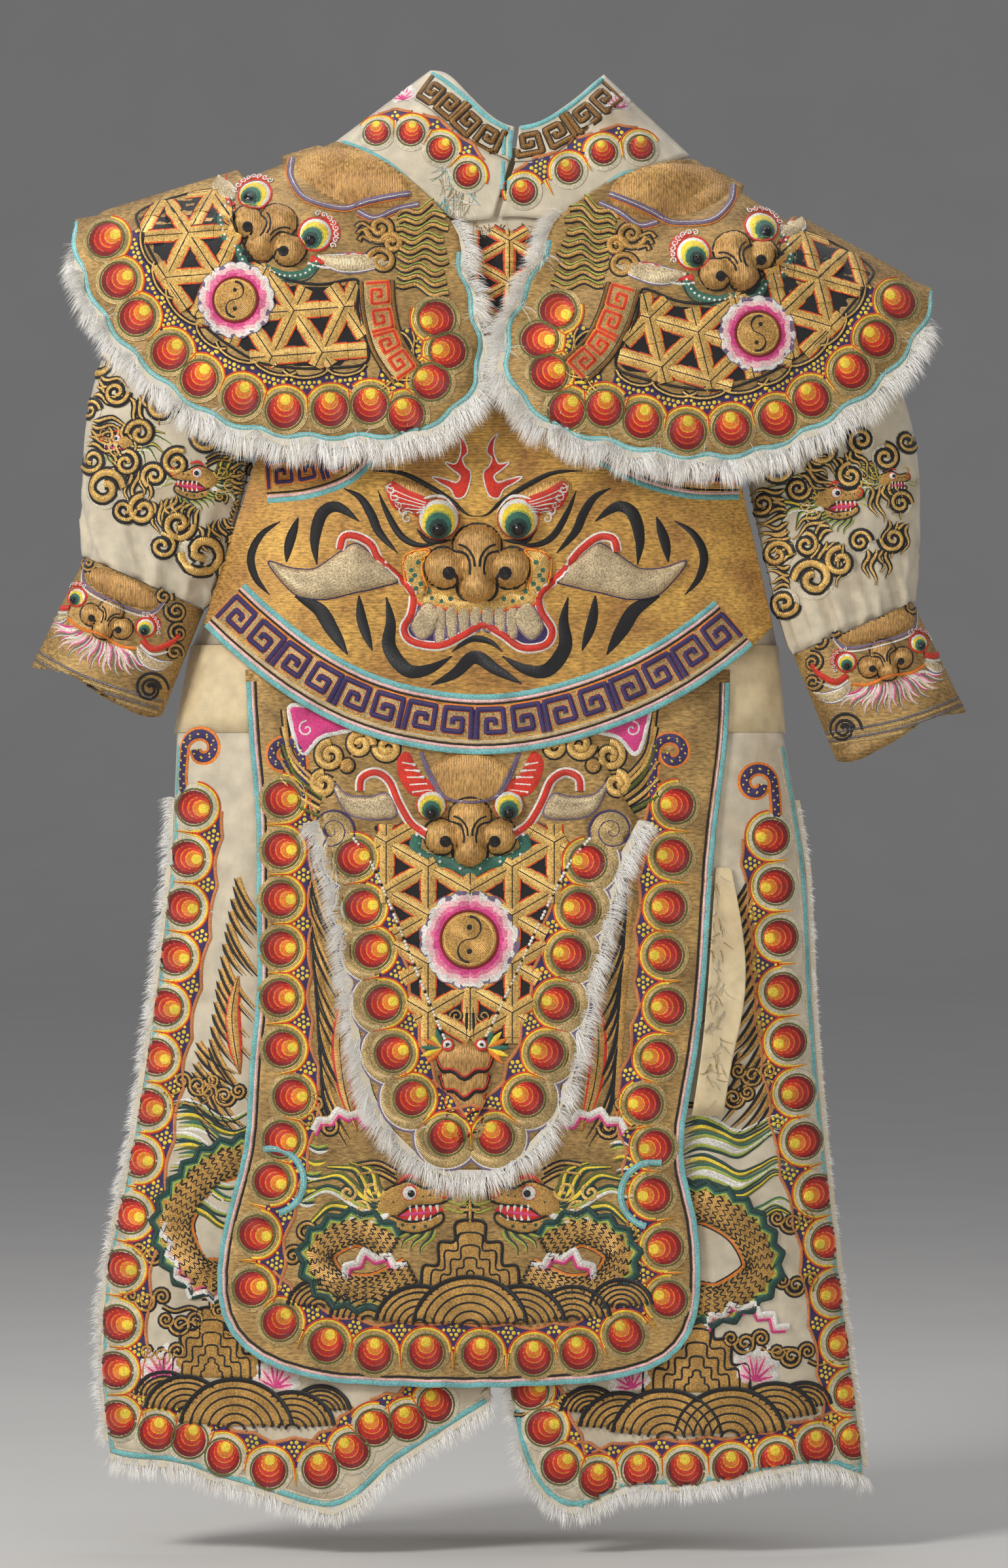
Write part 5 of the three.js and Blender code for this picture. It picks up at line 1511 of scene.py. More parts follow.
def stitch_apron():
    """The front apron: its jewels, feathers, two dragons, the mountain and the waves."""
    surface = Surface(PIECES["front_apron"])
    work = Stitching("apron_stitching", surface)
    edge_lines(
        work, surface, offset(APRON_EDGE, -14), ((2.4, "turquoise", 4.6), (6, "pink", 2.2),
        (9, "black", 2.4)))
    jewel_row(work, APRON_JEWELS, 1, 16.5)
    for hand, (x, z) in ((1, spot(347, 1505)), (-1, spot(833, 1522))):
        ring = arc(x, z, 31, 104, -76) if hand > 0 else arc(x, z, 31, 76, 256)
        work.thread(ring, 6, "turquoise", 2.2, 0.6)
        work.thread(ring, 0.8, "white", 2.8, 0.4)
    hook(work, *spot(362, 965), 0.92, 1)
    hook(work, *spot(857, 960), 0.92, -1)
    for hand, middle in ((1, 0), (-1, 2 * APRON_X)):
        def side(*pairs):
            return [(middle + hand * x, z) for x, z in spots(*pairs)]

        feathers(
            work, side((398, 1030), (396, 1150), (404, 1260), (412, 1390)), -86 if hand > 0 else -94, 84,
            20, 0.3 * hand)
        feathers(
            work, side((420, 1040), (424, 1180), (436, 1300)), -80 if hand > 0 else -100, 70, 9, 0.3 * hand)
        long_leaf(work, side((444, 1258), (434, 1320), (440, 1385), (456, 1440)), 15)
        curls = ((395, 1424, 12, 0, 1), (420, 1436, 11, 180, -1), (405, 1405, 9, 90, 1))
        for x, z, radius, start, turn in curls:
            curl(work, *side((x, z))[0], radius, 1.4, start, turn * hand, 3.6)
        dragon_body(
            work, side((500, 1590), (455, 1568), (410, 1594), (426, 1632), (474, 1642), (524, 1620)), -hand,
            26)
        fin(work, side((440, 1628), (470, 1600), (516, 1618)), 7 * hand)
        fin(work, side((400, 1440), (440, 1420), (480, 1436)), 6 * hand)
        dragon_head(work, *side((520, 1537))[0], hand, 1.08)
        for k in range(5):
            tints = (("lime", "dark green", "white"), ("olive", "yellow"))[k % 2]
            lock(work, side((420 - 4 * k, 1462 + 17 * k))[0], 178 if hand > 0 else 2, 34, tints, 3.6, 0.14)
        for place in ((375, 1600), (392, 1570)):
            curl(work, *side(place)[0], 10, 1.4, 0, hand, 3.6)
        ear = side((372, 900), (372, 925), (386, 962), (410, 940), (452, 928), (418, 908))
        work.patch(ear, "magenta", 0.5, 1.0, 4.0)
        work.thread(ear, 4.5, "white", 0.8, closed=True)
        work.thread(spiral(*side((391, 930))[0], 8, 1.2, 90, hand), 2, "white", 1.6)
        for k in range(6):
            scroll(
                work, side((362 - k, 905 + 22 * k), (372 + 3 * k, 962 + 14 * k),
                (408 + 3 * k, 1002 + 9 * k)), 4.6, ("gold", "bright gold", "olive")[k % 3])
    mountain(work, *spot(600, 1644), 1.05)
    wave_fans(
        work, ((408, 1666, 30), (470, 1682, 36), (730, 1682, 36), (792, 1666, 30), (536, 1688, 42),
        (664, 1688, 42), (600, 1691, 54)))
    work.make()


TAIL_STEP = 0.2936  # the tail apron's beast is drawn about its nose, in steps of this many millimetres
TAIL_AT = spot(599.9, 1062.5)
TAIL_DOMES = ((0, 176, 140, 84, 0, 7), (-125, 90, 48, 46, 0, 8), (125, 90, 48, 46, 0, 8))
TAIL_JEWELS = spots(
    (452, 1094), (463, 1157), (475, 1212), (489, 1279), (502, 1342), (526, 1399), (570, 1448), (632, 1448),
    (672, 1399), (697, 1342), (711, 1279), (726, 1217), (739, 1159), (750, 1100))


def stitch_tail():
    """The tail apron: its beast, lattice, flower, jewels, beetle and bead strings."""
    cloth = PIECES["tail_apron"]
    face = placed_domes(TAIL_DOMES, TAIL_AT, TAIL_STEP) + nose_domes(*TAIL_AT, 0.9 * TAIL_STEP)
    snout = relief("tail_relief", Surface(cloth), face, ["tail_snout", "tail_flower"], 2.5)
    beetle_x, beetle_z = spot(593, 1385)
    plates = [(beetle_x, beetle_z + 24 - 19 * k, 27 - 3.5 * k, 17, 0, 7) for k in range(4)]
    beetle = relief("tail_beetle_relief", Surface(cloth), plates, ["tail_beetle"], 2.5)
    surface = Surface(PIECES["front_apron"], cloth, snout, beetle)
    work = Stitching("tail_stitching", surface)
    field = spots(
        (474, 1050), (532, 1046), (534, 1080), (560, 1102), (600, 1112), (640, 1102), (666, 1080),
        (668, 1046), (726, 1050), (716, 1110), (704, 1170), (692, 1240), (674, 1300), (650, 1338),
        (628, 1340), (620, 1322), (568, 1322), (560, 1340), (545, 1338), (526, 1300), (510, 1240),
        (496, 1170), (484, 1110))
    work.surface = Surface(cloth, overhang=14)
    rings = ((31.4, "violet", 2.6, 0.4), (29.8, "white", 1.8, 0.6), (25.4, "khaki", 8.6, 0.9))
    for out, tint, width, lift in rings:
        for k, (x, z) in enumerate(TAIL_JEWELS):
            before, after = TAIL_JEWELS[max(0, k - 1)], TAIL_JEWELS[min(len(TAIL_JEWELS) - 1, k + 1)]
            way = unit(before, after)
            heading = math.degrees(math.atan2(-way[0], way[1]))
            work.thread(arc(x, z, out, heading - 84, heading + 84), width, tint, lift, 0.5)
    work.surface = surface
    lattice(work, field, spot(600, 1198), 46, 30)
    jewel_row(work, TAIL_JEWELS, 1, 16.5)
    for hand in (1, -1):
        with work.moved(*spot(424 if hand > 0 else 780, 1060), 0, 1, hand < 0):
            work.disc(0, 0, 21, "khaki", 0.2, 1.4)
            work.thread(spiral(0, 0, 22, 2.1, -20, 1, 0.1), 2.4, "purple", 1.2)
    medallion(work, *spot(599, 1198), 27)
    with work.moved(*TAIL_AT, 0, TAIL_STEP):
        for hand in (1, -1):
            eye(work, 125 * hand, 90, 44)
            fan = mirrored(((100, 150), (160, 190), (200, 262), (236, 236), (226, 170), (178, 118)), hand)
            work.patch(fan, "red", 0.5, 1.2, 4.0)
            for k in range(5):
                work.thread(
                    [(hand * (120 + 14 * k), 140 + 20 * k), (hand * (188 + 8 * k), 132 + 24 * k)], 9,
                    "white", 1.4)
            lip = mirrored(
                ((140, -4), (190, 30), (232, 100), (262, 168), (306, 196), (350, 178), (356, 136)), hand)
            work.thread(lip, 34, "white", 0.4, 1.0)
            work.thread(lip, 24, "red", 1.0, 1.2)
            horn = mirrored(
                ((446, 166), (400, 124), (330, 116), (266, 124), (240, 56), (330, 46), (404, 72)), hand)
            work.patch(horn, "silver", 0.8, 5.0, 3.0, domed=True)
            work.thread(horn, 8, "violet", 0.6, closed=True)
            curls = ((356, 286, 44, 0), (268, 276, 40, 180), (452, 250, 46, 90), (474, 158, 40, 90))
            for x, z, radius, start in curls:
                curl(work, hand * x, z, radius, 1.5, start, -hand, 25, "bright gold")
            work.disc(hand * 398, 218, 24, "gold", 0.5, 3.0)
            work.thread(arc(hand * 398, 218, 25, 0, 342), 8, "black", 0.6, closed=True)
            for drop, tint, width in ((0, "violet", 13), (0, "white", 5), (22, "violet", 10)):
                work.thread(
                    [(hand * 160, 262), (hand * (120 - drop), 160 - drop), (hand * 70, 110), (0, 98)],
                    width, tint, 0.8 if tint == "violet" else 1.4)
        nose_cords_and_crease_shade(work, 0.9)
        beard = [
            (-172, -6), (-176, -56), (-124, -88), (-62, -98), (0, -128), (62, -98), (124, -88), (176, -56),
            (172, -6)]
        work.thread(beard, 40, "green", 0.2, 1.4)
        work.thread([(x * 1.06, z - 24) for x, z in beard], 8, "orange", 0.6)
        work.beads(beard, 5.5, 20, "white", 2.4)
        work.beads([(x * 0.92, z + 14) for x, z in beard], 3.6, 12, "turquoise", 2.0)
        for hand in (1, -1):
            work.thread([(hand * 10, -560), (hand * 12, -660)], 12, "black", 1.4)
            curl(work, hand * 44, -590, 22, 1.3, 180, hand, 8)
    for k in range(4):
        x, z, wide = beetle_x, beetle_z + 24 - 19 * k, 27 - 3.5 * k
        plate = [
            (x - wide, z + 6), (x - 0.8 * wide, z - 8), (x - 0.4 * wide, z - 9), (x, z - 16),
            (x + 0.4 * wide, z - 9), (x + 0.8 * wide, z - 8), (x + wide, z + 6)]
        work.thread(plate, 4.4, "black", 0.3)
        work.thread([(a, b + 2.4) for a, b in plate], 2.0, "red", 0.9)
    for hand in (1, -1):
        x, z = beetle_x + hand * 16, beetle_z + 40
        for k in range(6):
            lean = math.radians(-50 + 26 * k)
            tip = (x + hand * (8 + 19 * math.cos(lean)), z - 3 + 19 * math.sin(lean))
            work.thread(
                [(x + hand * 5, z - 3), tip], 5.5, ("orange", "yellow", "green")[k % 3], 1.0, shape=LEAF)
        work.disc(x, z, 6.4, "red", 1.6, 0.8)
        work.disc(x, z, 4.6, "white", 2.6, 2.2, finish=BEAD)
        work.disc(x, z, 2.0, "black", 4.6, 1.4, finish=BEAD)
        start = spot(452, 1070) if hand < 0 else spot(752, 1070)
        string = []
        for k in range(13):
            share = k / 12
            sag = 58 * (share * (1 - share)) * 1.6
            string.append(
                (start[0] + (x - start[0]) * share**0.72, start[1] + (z - start[1]) * share - sag * 0.6))
        work.thread(string, 1.0, "white", 1.6)
        for k, (a, b) in enumerate(along(string, 3.4)):
            work.disc(a, b, 1.7, "black" if k % 4 == 3 else "white", 2.0, 1.6, around=7, finish=BEAD)
    work.make()


# The leg panels, on the grid. The jewels' field is on their left where side is 1. Feathers are a line and its
# lean, reach, count and bend. The locks are the first root across, the step to the next one, the first root
# down, the first heading, its turn, the reach and the number of waves
LEGS = {
    "left": {
        "side": 1,
        "edge": spots(
            (205, 950), (200, 1100), (186, 1200), (172, 1300), (152, 1400), (134, 1500), (112, 1600),
            (104, 1700), (106, 1780), (112, 1860), (180, 1890), (240, 1890), (300, 1915), (395, 1945),
            (450, 1945), (490, 1895), (540, 1865), (600, 1840), (640, 1815)),
        "jewels": spots(
            (247, 1030), (238, 1095), (233, 1158), (222, 1221), (210, 1286), (198, 1350), (188, 1414),
            (176, 1480), (165, 1552), (155, 1620), (150, 1690), (146, 1750), (150, 1812), (200, 1828),
            (242, 1837), (285, 1858), (344, 1874), (410, 1872), (449, 1848), (478, 1818), (520, 1812),
            (556, 1790)),
        "hook": (256, 955),
        "feathers": (
            (((300, 1120), (282, 1220), (268, 1320), (262, 1400)), -74, 66, 20, 0.3),
            (((250, 1330), (244, 1400), (262, 1440)), -60, 60, 9, 0.4)),
        "leaves": (((304, 1245), (296, 1300), (306, 1370)),),
        "locks": (216, 5, 1412, -6, -3, 92, 1.3),
        "body": ((350, 1476), (306, 1480), (262, 1500), (224, 1560), (250, 1620), (300, 1628), (350, 1620)),
        "fin": ((212, 1560), (240, 1640), (300, 1650)),
        "clouds": ((196, 1600), (186, 1660), (230, 1690), (300, 1678), (206, 1730), (252, 1385), (286, 1398)),
        "clouds_turn": 250,
        "lotuses": ((207, 1758, 1.1, 10), (352, 1768, 1.1, -8)),
        "mountain": (270, 1758, 1.05),
        "fans": ((210, 1784, 28), (410, 1800, 28), (236, 1802, 38), (374, 1822, 40), (302, 1824, 54)),
    },
    "right": {
        "side": -1,
        "edge": spots(
            (1020, 950), (1040, 1100), (1050, 1200), (1055, 1300), (1066, 1400), (1080, 1500), (1092, 1600),
            (1106, 1700), (1120, 1800), (1130, 1895), (1060, 1905), (1000, 1905), (900, 1925), (800, 1925),
            (775, 1960), (735, 1965), (690, 1930), (664, 1870), (640, 1800)),
        "jewels": spots(
            (984, 1067), (990, 1131), (995, 1196), (999, 1265), (1006, 1330), (1017, 1395), (1026, 1457),
            (1044, 1524), (1058, 1587), (1066, 1653), (1078, 1716), (1088, 1780), (1092, 1842),
            (1042, 1846), (990, 1862), (932, 1869), (874, 1872), (816, 1874), (762, 1886), (714, 1868),
            (694, 1819), (676, 1772)),
        "hook": (966, 1000),
        "feathers": (
            (((958, 1120), (962, 1220), (972, 1330), (984, 1410)), -112, 64, 20, -0.3),
            (((930, 1230), (938, 1320), (950, 1380)), -104, 52, 9, -0.3)),
        "leaves": (),
        "locks": (868, 3, 1430, -4, 3, 108, 1.5),
        "body": ((860, 1536), (905, 1540), (950, 1570), (968, 1620), (925, 1655), (890, 1656), (850, 1646)),
        "fin": ((900, 1690), (950, 1668), (1000, 1700)),
        "clouds": (
            (935, 1400), (960, 1372), (1010, 1560), (1016, 1640), (950, 1712), (1010, 1730), (700, 1790)),
        "clouds_turn": 950,
        "lotuses": ((962, 1760, 1.15, -6), (806, 1770, 1.05, 14)),
        "mountain": (888, 1774, 1.15),
        "fans": (
            (752, 1802, 28), (1024, 1798, 28), (792, 1824, 40), (986, 1812, 40), (930, 1832, 52),
            (850, 1834, 52)),
    },
}
LOCK_TINTS = (("dark green", "lime", "white"), ("olive", "yellow", "dark green"), ("white", "lime", "green"))


def stitch_leg(name):
    """One leg panel's jewels, dragon, clouds, mountain, lotus and waves."""
    leg = LEGS[name]
    side = leg["side"]
    surface = Surface(PIECES["leg_panel_" + name])
    work = Stitching("leg_" + name + "_stitching", surface)
    edge_lines(work, surface, leg["edge"][::side], ((2.6, "turquoise", 5.0), (6.4, "cream", 2.0)))
    jewel_row(work, leg["jewels"], side, 16.5, "cream")
    hook(work, *spot(*leg["hook"]), 0.95, -side)
    for line, *rest in leg["feathers"]:
        feathers(work, spots(*line), *rest)
    for line in leg["leaves"]:
        long_leaf(work, spots(*line), 15)
    across, step, down, heading, turn, reach, waves = leg["locks"]
    for k in range(11):
        root = spot(across + step * (k % 3), down + 13 * k)
        lock(work, root, heading + turn * (k % 4), reach, LOCK_TINTS[k % 3], 4.4, 0.1, waves)
    dragon_body(work, spots(*leg["body"]), -side, 30)
    fin(work, spots(*leg["fin"]), -8 * side)
    for x, z in leg["clouds"]:
        cloud(work, *spot(x, z), side * (x - leg["clouds_turn"]) > 0)
    for x, z, size, turned in leg["lotuses"]:
        lotus(work, *spot(x, z), size, turned)
    x, z, size = leg["mountain"]
    mountain(work, *spot(x, z), size)
    wave_fans(work, leg["fans"])
    work.make()


YOKE_JEWELS = (
    spots((480, 164), (524, 166), (562, 188), (596, 222)),
    spots((668, 243), (726, 216), (770, 192), (818, 185)),
)


def stitch_neck():
    """The collar's key fret and the yoke's jewels, dotted band and ribbons."""
    surface = Surface(*(PIECES[name] for name in ("collar_left", "collar_right", "yoke_left", "yoke_right")))
    work = Stitching("neck_stitching", surface)
    for line in (((552, 80), (566, 90), (598, 118), (625, 144), (650, 158)),
                 ((652, 158), (684, 152), (714, 136), (740, 116), (768, 88))):
        top = spots(*line)
        key_fret(work, offset(top, -5), 24, 26, "brown gold", "black", 5.0, -1)
        work.thread(offset(top, -2), 5, "turquoise", 0.3)
    for x in (-1.6, 4.6):
        work.thread([(x + 2, spot(0, 162)[1]), (x, spot(0, 240)[1])], 4, "turquoise", 0.3)
    for row in YOKE_JEWELS:
        jewel_row(work, row, 1, 12.0, ring="cream")
    for line in (((436, 172), (500, 210), (572, 282)), ((880, 195), (840, 216), (792, 222), (728, 280))):
        work.thread(spots(*line), 5, "turquoise", 0.6)
    for across, down in ((514, 118), (790, 130)):
        lotus(work, *spot(across, down), 0.62)
    work.make()


def stitch_chest():
    """The lattice on the tunic's chest, between the capes."""
    surface = Surface(PIECES["tunic_front"])
    work = Stitching("chest_stitching", surface)
    region = spots((560, 292), (740, 292), (740, 500), (560, 500))
    lattice(work, region, spot(650, 360), 40, 30, 11)
    work.make()


def stitch_back():
    """The plain back: ribbons with black and gold cords along the edges."""
    for side, name in ((-1, "left"), (1, "right")):
        place = cape_place if side > 0 else (lambda point: point)
        surface = Surface(PIECES["cape_" + name], back=True)
        work = Stitching("cape_back_" + name + "_stitching", surface)
        line = [(-180, -8), (-205, -44), (-255, -92), (-305, -132), (-350, -148), (-386, -132), (-404, -90)]
        rim = surface.rim([place(p) for p in offset(line, 14)][:: -side], 1.5)
        ribbon(work, rim)
        work.thread(offset(rim, 8), 2.0, "black", 0.3)
        work.thread(offset(rim, 11), 3.0, "gold", 0.3)
        work.make()
    surface = Surface(PIECES["back_panel"], back=True)
    work = Stitching("back_panel_stitching", surface)
    edge = [
        (-220, -500), (-228, -590), (-244, -760), (-260, -930), (-272, -1080), (-262, -1150), (-225, -1190),
        (-170, -1200), (130, -1200), (195, -1190), (226, -1150), (236, -1080), (222, -930), (206, -760),
        (188, -590), (178, -500)]
    edge_lines(work, surface, edge, ((2.6, "turquoise", 5.0), (8, "black", 2.2), (12, "gold", 3.0)))
    work.make()


CUFFS = {
    "left": (spot(136, 790), -24, spot(190, 878)),
    "right": (spot(1130, 842), 15, spot(1078, 930)),
}


def stitch_cuff(name):
    """One cuff: a lion's mask over pink flames, with ribbons at its edges."""
    (x, z), turned, (curl_x, curl_z) = CUFFS[name]
    cloth = PIECES["cuff_" + name]
    across, up = turned_by((0, 33), turned)
    domes = [*nose_domes(x, z, 0.16, turned), (x + across, z + up, 38, 13, turned, 5)]
    snout = relief("cuff_" + name + "_relief", Surface(cloth), domes, [], 2.0)
    surface = Surface(cloth, snout)
    work = Stitching("cuff_" + name + "_stitching", surface)
    with work.moved(x, z, turned):
        for hand in (1, -1):
            eye(work, 36 * hand, 8, 8.5)
            brow(work, 36 * hand, 8, 9, hand)
            work.thread([(38 * hand, -4), (50 * hand, -8), (62 * hand, 2), (68 * hand, 14)], 6, "red", 0.5)
            work.thread([(38 * hand, -9), (52 * hand, -13), (66 * hand, -3)], 2.4, "white", 0.5)
            for across, up, radius in ((56, 34, 10), (66, 16, 9), (70, -2, 8), (40, 42, 8)):
                curl(work, hand * across, up, radius, 1.4, 90 * radius, hand, 3.6)
            tusk(work, [(36 * hand, -12), (48 * hand, -20), (62 * hand, -20), (72 * hand, -12)], 9)
        nose_cords_and_crease_shade(work, 0.16)
        for k in range(21):
            lean = -165 + 7.5 * k
            tints = (("magenta", "white"), ("cream", "pink"), ("white", "rose"), ("grey", "cream"))[k % 4]
            lock(work, (2.6 * (k - 10), -20), lean, 25 + 6 * (k % 2), tints, 3.2, 0.08)
        work.thread([(-36, -14), (-20, -18), (0, -15), (20, -18), (36, -14)], 3, "orange", 0.8)
        for drop, tint, width in ((0, "violet", 3), (3.4, "white", 1.6)):
            work.thread(
                [(-44, 44 - drop), (-34, 22 - drop), (0, 18 - drop), (34, 22 - drop), (44, 44 - drop)],
                width, tint, 0.6)
        for row in range(4):
            work.thread(
                [(-78, -52 - 4 * row), (0, -58 - 4 * row), (78, -50 - 4 * row)], 2.6,
                ("grey", "khaki")[row % 2], 0.3, finish=METAL)
        work.thread([(-78, 62), (0, 60), (78, 62)], 4.5, "turquoise", 0.3)
    for reach in (17, 10):
        work.thread(spiral(curl_x, curl_z, reach, 1.4, 0, 1, 0.2), 3.0, "black", 0.6)
    work.make()


# The sleeves' scrolls: place on the grid, radius, start angle and hand
SLEEVE_CURLS = {
    "left": (
        (125, 456, 17, 90, 1), (146, 498, 12, 0, -1), (116, 585, 12, 180, 1), (133, 622, 18, 0, 1),
        (160, 590, 12, 90, -1), (205, 518, 15, 0, 1), (178, 552, 13, 180, -1), (224, 590, 13, 60, 1),
        (196, 606, 12, 240, -1), (182, 650, 14, 90, 1), (226, 668, 15, 0, -1), (257, 704, 21, 180, 1),
        (288, 724, 11, 0, -1), (262, 556, 13, 180, 1), (300, 566, 12, 90, -1), (322, 600, 11, 0, 1),
        (206, 696, 12, 90, -1), (302, 688, 13, 0, 1), (322, 650, 11, 180, -1), (158, 650, 11, 0, -1),
        (240, 520, 13, 270, 1), (112, 520, 10, 0, 1)),
    "right": (
        (997, 594, 14, 180, 1), (1020, 622, 11, 0, -1), (1086, 606, 12, 90, 1), (994, 706, 13, 0, 1),
        (1039, 738, 18, 180, -1), (1073, 716, 14, 90, 1), (1003, 768, 13, 0, -1), (1052, 572, 13, 180, 1),
        (1098, 690, 10, 0, 1), (1131, 582, 12, 90, -1), (1150, 640, 11, 0, 1), (1100, 560, 12, 270, -1),
        (1140, 686, 12, 180, 1), (1030, 694, 11, 90, -1), (976, 640, 11, 180, 1), (1160, 560, 10, 0, -1)),
}
# The sleeves' manes: place on the grid, heading, how many strokes, and their length
SLEEVE_MANES = {
    "left": (
        (120, 488, -20, 4, 26), (112, 548, -10, 5, 28), (292, 612, 8, 7, 34), (290, 654, -18, 5, 34),
        (176, 500, -70, 4, 30), (178, 600, -95, 4, 28), (240, 640, -120, 5, 28), (150, 540, -80, 4, 30),
        (206, 636, -80, 4, 28), (268, 664, -70, 5, 26), (140, 590, -20, 3, 18), (278, 528, -60, 5, 28)),
    "right": (
        (1006, 650, 186, 7, 32), (1012, 690, 200, 5, 30), (1062, 690, -100, 5, 30), (1030, 590, -30, 5, 26),
        (1128, 616, -80, 5, 26), (1148, 664, -100, 4, 26), (1080, 576, -60, 4, 24), (1056, 664, 210, 4, 26),
        (1120, 700, -90, 4, 24), (1010, 734, 180, 4, 24)),
}
# The sleeves' dragon heads: place on the grid, the way they face, and size
SLEEVE_HEADS = {
    "left": ((252, 614, -1, 0.72), (150, 566, -1, 0.5)),
    "right": ((1066, 640, 1, 0.72), (1138, 614, 1, 0.5)),
}


def mane(work, across, down, heading, count, reach):
    """A bunch of wavy couched strokes side by side, from their roots out."""
    x, z = spot(across, down)
    for k in range(count):
        aside = 6.8 * (k - (count - 1) / 2)
        long = 1.45 * reach * (0.8 + 0.2 * math.sin(2.1 * k))
        line = [
            turned_by((long * step / 6, aside + 2.8 * math.sin(1.3 * step + k)),
            heading) for step in range(7)]
        placed = [(x + a, z + b) for a, b in line]
        work.thread(placed, 8.8, "black", 1.2, 0.6, BLADE)
        work.thread(placed, 4.4, "bright gold", 1.7, 0.7, BLADE)


def stitch_sleeve(name):
    """One sleeve's dragon heads, manes and scrolls, on its front and its back."""
    for back in (False, True):
        surface = Surface(PIECES["sleeve_" + name], back=back)
        work = Stitching("sleeve_" + name + ("_back" if back else "_front") + "_stitching", surface)
        for place in SLEEVE_MANES[name]:
            mane(work, *place)
        for across, down, radius, start, hand in SLEEVE_CURLS[name]:
            x, z = spot(across, down)
            work.disc(x, z, 1.1 * radius, "cream", 0.9, 0.2)
            scroll(
                work, spiral(x, z, radius, 1.25, start, hand, 0.24), 0.4 * radius, "bright gold", lift=1.5,
                edge=2.5)
        for across, down, hand, size in SLEEVE_HEADS[name]:
            dragon_head(work, *spot(across, down), hand, size)
        work.make()


def loose_threads(look):
    """Frayed threads at the yoke, the torn flap and the hems."""
    chance = random.Random(look.seed)
    surface = Surface(
        *(PIECES[name] for name in ("yoke_left", "yoke_right", "torn_flap", "cuff_left", "cuff_right",
        "leg_panel_left", "leg_panel_right", "front_apron", "tunic_front")))
    work = Stitching("loose_threads", surface)
    fields = (
        (((560, 195), (606, 270)), 90, 16, ("cream", "white", "khaki", "turquoise")),
        (((600, 282), (735, 302)), 60, 10, ("cream", "khaki", "brown gold")),
        (((902, 1110), (924, 1420)), 70, 12, ("cream", "khaki")),
        (((620, 1762), (860, 1778)), 60, 9, ("khaki", "brown gold", "cream")),
        (((150, 1868), (470, 1920)), 60, 12, ("cream", "white")),
        (((700, 1890), (1110, 1912)), 60, 10, ("cream", "white")),
    )
    for ((x0, z0), (x1, z1)), count, reach, tints in fields:
        for _ in range(count):
            x, z = spot(chance.uniform(x0, x1), chance.uniform(z0, z1))
            heading = chance.gauss(-90, 40)
            bend = chance.uniform(-0.6, 0.6)
            points = []
            for k in range(5):
                share = k / 4
                points.append(turned_by((reach * share, bend * reach * share * share), heading))
            tint = chance.choice(tints)
            placed = [(x + a, z + b) for a, b in points]
            work.thread(placed, chance.uniform(0.7, 1.8), tint, 0.5, 0.6, TIP, finish=SILK)
    work.make()


# Operators

ROBE_FRONT = 0.09  # how far before the origin the robe's front lies, in metres
PICTURE_MIDDLE = -0.6206  # the height of the picture's middle


class RobeSettings(bpy.types.PropertyGroup):
    """What a user would change about the robe."""

    gold: FloatVectorProperty(name="Gold thread", description="Colour of the laid gold thread",
                              subtype="COLOR", default=dye(194, 156, 94))
    satin: FloatVectorProperty(name="Satin", description="Colour of the aged cream satin", subtype="COLOR",
                               default=TINTS["cream"])
    cotton: FloatVectorProperty(name="Cotton", description="Colour of the undyed cotton", subtype="COLOR",
                                default=dye(222, 200, 156))
    fur: FloatVectorProperty(name="Fur", description="Colour of the fur trim", subtype="COLOR",
                             default=dye(252, 249, 242))
    fur_density: FloatProperty(name="Fur density", description="Share of the usual number of hairs",
                               default=1.0, min=0.1, max=1.5, subtype="FACTOR")
    distance: FloatProperty(name="Camera distance", description="From the camera to the robe's front",
                            default=6.0, min=2.0, unit="LENGTH")
    view_height: FloatProperty(name="View height", description="Height of the picture at the robe's front",
                               default=1.49, min=0.5, unit="LENGTH")
    seed: IntProperty(name="Seed", description="Seed of the loose threads", default=7, min=0)


